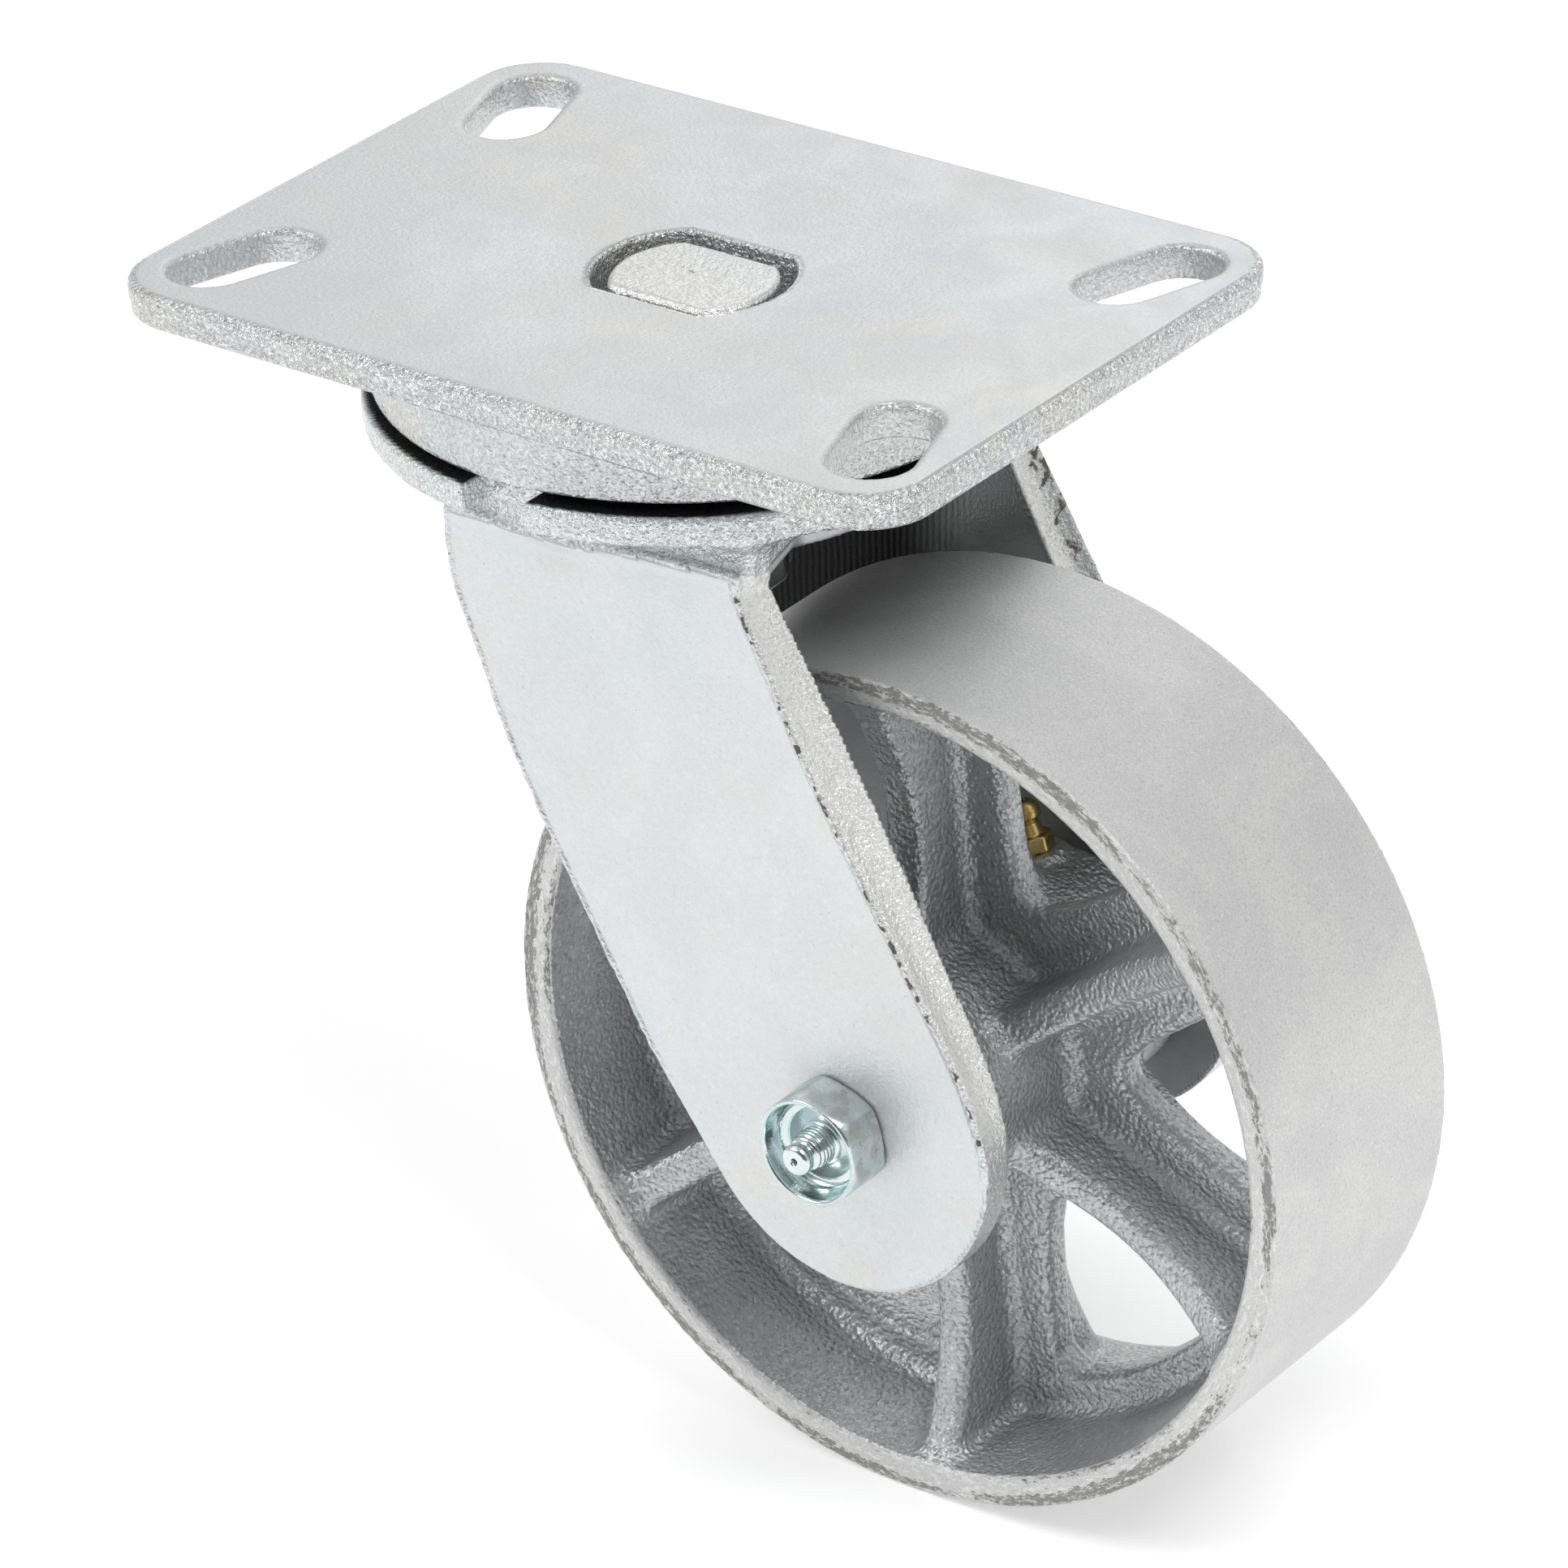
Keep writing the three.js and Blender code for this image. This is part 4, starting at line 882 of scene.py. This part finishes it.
def build_nut():
    V, Q = surface(f_nut, (AX - 11.8, 39.0, AZ - 11.8), (AX + 11.8, 51.6, AZ + 11.8), 0.36)
    N = gradient(f_nut, V); N /= np.maximum(np.linalg.norm(N, axis=1, keepdims=True), 1e-9)
    edge, recess_shade = masks(f_nut, V, N, 0.8, 3.0)
    V = V + N * (0.03 * fbm(*V.T, 1.6, 63))[:, None]
    # painted shade: recesses darkened
    me = make_mesh("axle_lock_nut", V, Q, {"edge": edge, "recess_shade": recess_shade, "side": 0.8 * np.ones(len(V)), "cup": np.zeros(len(V))})
    add_piece("axle_lock_nut", me, "fork", ["axle_nut"], "bolt_zinc", M_BOLT)

def build_hub_fitting():
    """Brass grease fitting, built along +Z and turned to its place on the hub."""
    def f(x, y, z):
        r = np.hypot(x, y)
        stem = np.maximum(np.maximum(r - 2.2, 16.2 - z), z - 22.2)
        hx = rmax(rmax(hex2(x, y, 7.0, 15), 21.95 - z, 0.25), z - 24.9, 0.25)
        hx = rmax(hx, (r - 3.85) * 0.7 + (z - 24.5) * 0.7, 0.2)
        rr = np.interp(z, [24.5, 25.8, 26.9, 27.6, 28.2, 29.2, 30.4, 31.0], [2.7, 2.35, 2.1, 2.35, 2.8, 2.8, 2.1, 1.3])
        neck = rmax(np.maximum((r - rr) * 0.9, 24.4 - z), z - 31.0, 0.3)
        d = rmin(np.minimum(stem, hx), neck, 0.3)
        return np.maximum(d, -np.maximum(r - 0.55, 29.8 - z))
    V, Q = surface(f, (-5.2, -5.2, 15.8), (5.2, 5.2, 31.8), 0.2)
    N = gradient(f, V, e=0.03); N /= np.maximum(np.linalg.norm(N, axis=1, keepdims=True), 1e-9)
    edge, recess_shade = masks(f, V, N, 0.5, 1.6)
    # local +Z to the radial direction, local +Y to the axle's
    u = np.array([math.cos(FIT_ANG), 0, math.sin(FIT_ANG)]); v = np.array([0, 1.0, 0]); w = np.cross(v, u)
    W = V[:, :1] * w + V[:, 1:2] * v + V[:, 2:3] * u + np.array([AX, 25.2, AZ])
    # painted shade: recesses darkened
    me = make_mesh("hub_grease_fitting_brass", W, Q, {"edge": edge, "recess_shade": recess_shade})
    add_piece("hub_grease_fitting_brass", me, "wheel", ["hub_grease_fitting"], "brass_fitting", M_BRASS)

# ------------------------------------------------------------------ swivel hardware seen from below
def build_hardware():
    def f_kn(x, y, z):
        r = np.hypot(x, y)
        d = hex2(x, y, 28.6, 30)
        d = rmax(rmax(d, z + 42.3, 0.4), -55.5 - z, 0.4)
        d = rmax(d, (r - 13.6) * 0.7 - (z + 55.5) * 0.7, 0.4)
        d = rmax(d, (r - 15.0) * 0.6 + (z + 42.9) * 0.8, 0.4)
        for i in range(3):
            a = 60 * i * DEG
            s = np.abs(x * math.cos(a) + y * math.sin(a))
            d = rmax(d, -np.maximum(s - 2.1, z + 50.9), 0.3)
        return rmax(d, 9.8 - r, 0.4)
    V, Q = surface(f_kn, (-17.4, -17.4, -56.2), (17.4, 17.4, -41.6), 0.5)
    N = gradient(f_kn, V); N /= np.maximum(np.linalg.norm(N, axis=1, keepdims=True), 1e-9)
    edge, recess_shade = masks(f_kn, V, N, 0.8, 3.0)
    # painted shade: recesses darkened
    add_piece("kingpin_castle_nut", make_mesh("kingpin_castle_nut", V, Q, {"edge": edge, "recess_shade": recess_shade}), "plate", ["kingpin_nut"], "turned_steel", M_STEEL)
    def f_cp(x, y, z):
        Z = z + 53.2
        pin = np.hypot(x, Z) - 1.42
        pin = np.maximum(pin, np.abs(x) * 0.0 + np.abs(y) - 19)
        split = np.maximum(np.abs(Z) - 0.12, 3 - y) * 0 + np.maximum(np.abs(x) - 0.14, -y - 30)
        ring = np.hypot(np.hypot(Z, y - 21.2) - 2.6, x) - 1.18
        d = rmin(pin, ring, 0.6)
        return rmax(d, -np.maximum(np.abs(Z) - 0.14, y - 18), 0.2)
    V, Q = surface(f_cp, (-2.6, -20.2, -58.2), (2.6, 26.2, -48.2), 0.3)
    V[:, 1] = np.clip(V[:, 1], -19.0, 25.0)
    add_piece("cotter_pin_split", make_mesh("cotter_pin_split", V, Q, {"edge": np.zeros(len(V)), "recess_shade": np.zeros(len(V))}), "plate", ["cotter_pin"], "turned_steel", M_STEEL)
    def ring(name, prof, body, nodes, slot, mat, axis="z", centre=(0, 0, 0), seg=96, rad=0.4):
        V, Q = lathe(soft_profile(prof, rad), axis, centre, seg, True)
        z0 = np.zeros(len(V))
        add_piece(name, make_mesh(name, V, Q, {"edge": z0, "recess_shade": z0}), body, nodes, slot, mat)
    g = [(17.5 + 3.47 * math.cos(a * DEG), -35.6 + 3.47 * math.sin(a * DEG)) for a in np.linspace(180 + 29.5, 360 - 29.5, 12)]
    ring("lower_race_turned", [(24, -37.3), (24, -42), (9.8, -42), (9.8, -37.3), *[(r, min(z, -37.3)) for r, z in g]][::-1], "plate", ["lower_race"], "turned_steel", M_STEEL, rad=0.3)
    ring("raceway_seal_lip", [(46.9, -18.6), (46.9, -14.4), (45.2, -14.4), (45.2, -18.6)], "plate", ["raceway_seal"], "seal_rubber", M_RUBBER, seg=160)
    c = (AX, 0, AZ)
    ring("spanner_bushing_ground", [(6.65, -32.7), (6.65, 32.7), (9.5, 32.7), (9.5, -32.7)][::-1], "fork", ["spanner_bushing"], "turned_steel", M_STEEL, "y", c)
    ring("thrust_washer_near_lapped", [(9.8, -32.7), (9.8, -30.8), (17.5, -30.8), (17.5, -32.7)][::-1], "fork", ["thrust_washer_near"], "turned_steel", M_STEEL, "y", c, rad=0.3)
    ring("thrust_washer_far_lapped", [(9.8, 30.8), (9.8, 32.7), (17.5, 32.7), (17.5, 30.8)][::-1], "fork", ["thrust_washer_far"], "turned_steel", M_STEEL, "y", c, rad=0.3)
    # balls and rollers, round instead of faceted
    def sphere(r, c, n=24, m=14):
        prof = [(max(r * math.sin(t), 0.004), -r * math.cos(t)) for t in np.linspace(0, math.pi, m)]
        return lathe(prof[::-1], "z", c, n)
    for prefix, n, r, pitch, z in (("main", 14, 4.7625, 40.0, -16.25), ("lower", 10, 3.175, 17.5, -35.6)):
        for i in range(n):
            a = 2 * math.pi * i / n
            V, Q = sphere(r, (pitch * math.cos(a), pitch * math.sin(a), z))
            name = f"{prefix}_ball_{i + 1:02d}"
            z0 = np.zeros(len(V))
            add_piece(name + "_ground", make_mesh(name + "_ground", V, Q, {"edge": z0, "recess_shade": z0}), prefix + "_balls", [name], "bearing_steel", M_BALL)
    for i in range(10):
        a = (36 * i + 18) * DEG
        prof = soft_profile([(0.02, -23), (2.45, -23), (2.45, 23), (0.02, 23)], 0.35, 3, closed=False)[::-1]
        V, Q = lathe(prof, "y", (AX + 12.3 * math.cos(a), 0, AZ + 12.3 * math.sin(a)), 24)
        name = f"roller_{i + 1:02d}"
        z0 = np.zeros(len(V))
        add_piece(name + "_ground", make_mesh(name + "_ground", V, Q, {"edge": z0, "recess_shade": z0}), "rollers", [name], "bearing_steel", M_BALL)

build_plate()
build_kingpin()
build_fork()
build_wheel()
build_bolt()
build_nut()
build_hub_fitting()
build_hardware()

for node, mat in (("main_ball_cage", M_CAGE), ("lower_ball_cage", M_CAGE), ("roller_cage", M_STEEL)):
    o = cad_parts[node]
    o.data.materials.clear()
    o.data.materials.append(mat)

# ------------------------------------------------------------------ floor, light, camera
def build_stage():
    n = 24
    V, F = [], []
    for i in range(n + 1):
        for j in range(n + 1):
            V.append((9000.0 * (2 * i / n - 1), 9000.0 * (2 * j / n - 1), -203.25))
    for i in range(n):
        for j in range(n):
            a = i * (n + 1) + j
            F.append((a, a + n + 1, a + n + 2, a + 1))
    me = make_mesh("floor", np.array(V), np.array(F), smooth=False)
    t = Tree("floor_paper")
    g = t.noise(40, 3)
    t.set(Base_Color=t.mix(g, (0.93, 0.93, 0.93), (0.95, 0.95, 0.95)), Roughness=0.9, Normal=t.bump(g, 0.0001, 0.1))
    t.bsdf.inputs["Specular IOR Level"].default_value = 0.1
    t.bsdf.inputs["Emission Color"].default_value = (1, 1, 1, 1)
    t.bsdf.inputs["Emission Strength"].default_value = 0.27
    me.materials.append(t.mat)
    o = bpy.data.objects.new("floor", me)
    bpy.context.scene.collection.objects.link(o)
build_stage()

world = bpy.data.worlds.new("studio")
bpy.context.scene.world = world
world.use_nodes = True
wt = world.node_tree
wt.nodes.clear()
wo = wt.nodes.new("ShaderNodeOutputWorld")
bg = wt.nodes.new("ShaderNodeBackground")
bg.inputs["Color"].default_value = (1.0, 1.0, 1.0, 1)
bg.inputs["Strength"].default_value = 0.62
wt.links.new(bg.outputs[0], wo.inputs[0])
# the room's darker half, on the side where the photographer stands
wtc = wt.nodes.new("ShaderNodeTexCoord")
dot = wt.nodes.new("ShaderNodeVectorMath"); dot.operation = "DOT_PRODUCT"
dot.inputs[1].default_value = Vector((0.45, -0.84, 0.20)).normalized()
wt.links.new(wtc.outputs["Generated"], dot.inputs[0])
ramp = wt.nodes.new("ShaderNodeMapRange"); ramp.interpolation_type = "SMOOTHSTEP"
for key, v in (("From Min", 0.45), ("From Max", 0.95), ("To Min", 0.64), ("To Max", 0.12)):
    ramp.inputs[key].default_value = v
wt.links.new(dot.outputs["Value"], ramp.inputs["Value"])
wt.links.new(ramp.outputs["Result"], bg.inputs["Strength"])

def area(name, loc, target, size, power, size_y=None):
    d = bpy.data.lights.new(name, "AREA")
    d.shape = "RECTANGLE"; d.size = size; d.size_y = size_y or size
    d.energy = power
    o = bpy.data.objects.new(name, d)
    bpy.context.scene.collection.objects.link(o)
    o.location = loc
    o.rotation_euler = (Vector(target) - Vector(loc)).to_track_quat("-Z", "Y").to_euler()
    return o

C = (0.025, 0.0, -0.10)
area("key", (-1.15, -1.25, 1.45), C, 1.2, 13)
area("fill", (1.0, -0.35, 1.75), C, 0.9, 14)
area("back", (-0.7, 1.9, 1.2), C, 1.6, 7)

# Camera fitted to the photograph: the rotation's rows and the shift of the CAD frame in camera axes.
az, el, roll = 37.254 * DEG, 27.958 * DEG, -2.065 * DEG
back = np.array([math.sin(az) * math.cos(el), -math.cos(az) * math.cos(el), math.sin(el)])
xv = np.cross([0, 0, 1.0], back); xv /= np.linalg.norm(xv)
yv = np.cross(back, xv)
xr = math.cos(roll) * xv + math.sin(roll) * yv
yr = -math.sin(roll) * xv + math.cos(roll) * yv
R = np.array([xr, yr, back])
tvec = np.array([-14.771, 84.595, -1314.093])
pos = -R.T @ tvec * MM
cam = bpy.data.cameras.new("camera")
cam.sensor_width = 36.0
cam.sensor_fit = "HORIZONTAL"
cam.lens = 9932.342 / 1932 * 36.0
cam.clip_start, cam.clip_end = 0.05, 60
co = bpy.data.objects.new("camera", cam)
bpy.context.scene.collection.objects.link(co)
co.matrix_world = Matrix(((xr[0], yr[0], back[0], pos[0]), (xr[1], yr[1], back[1], pos[1]), (xr[2], yr[2], back[2], pos[2]), (0, 0, 0, 1)))
bpy.context.scene.camera = co
bpy.context.scene.view_settings.view_transform = "Standard"
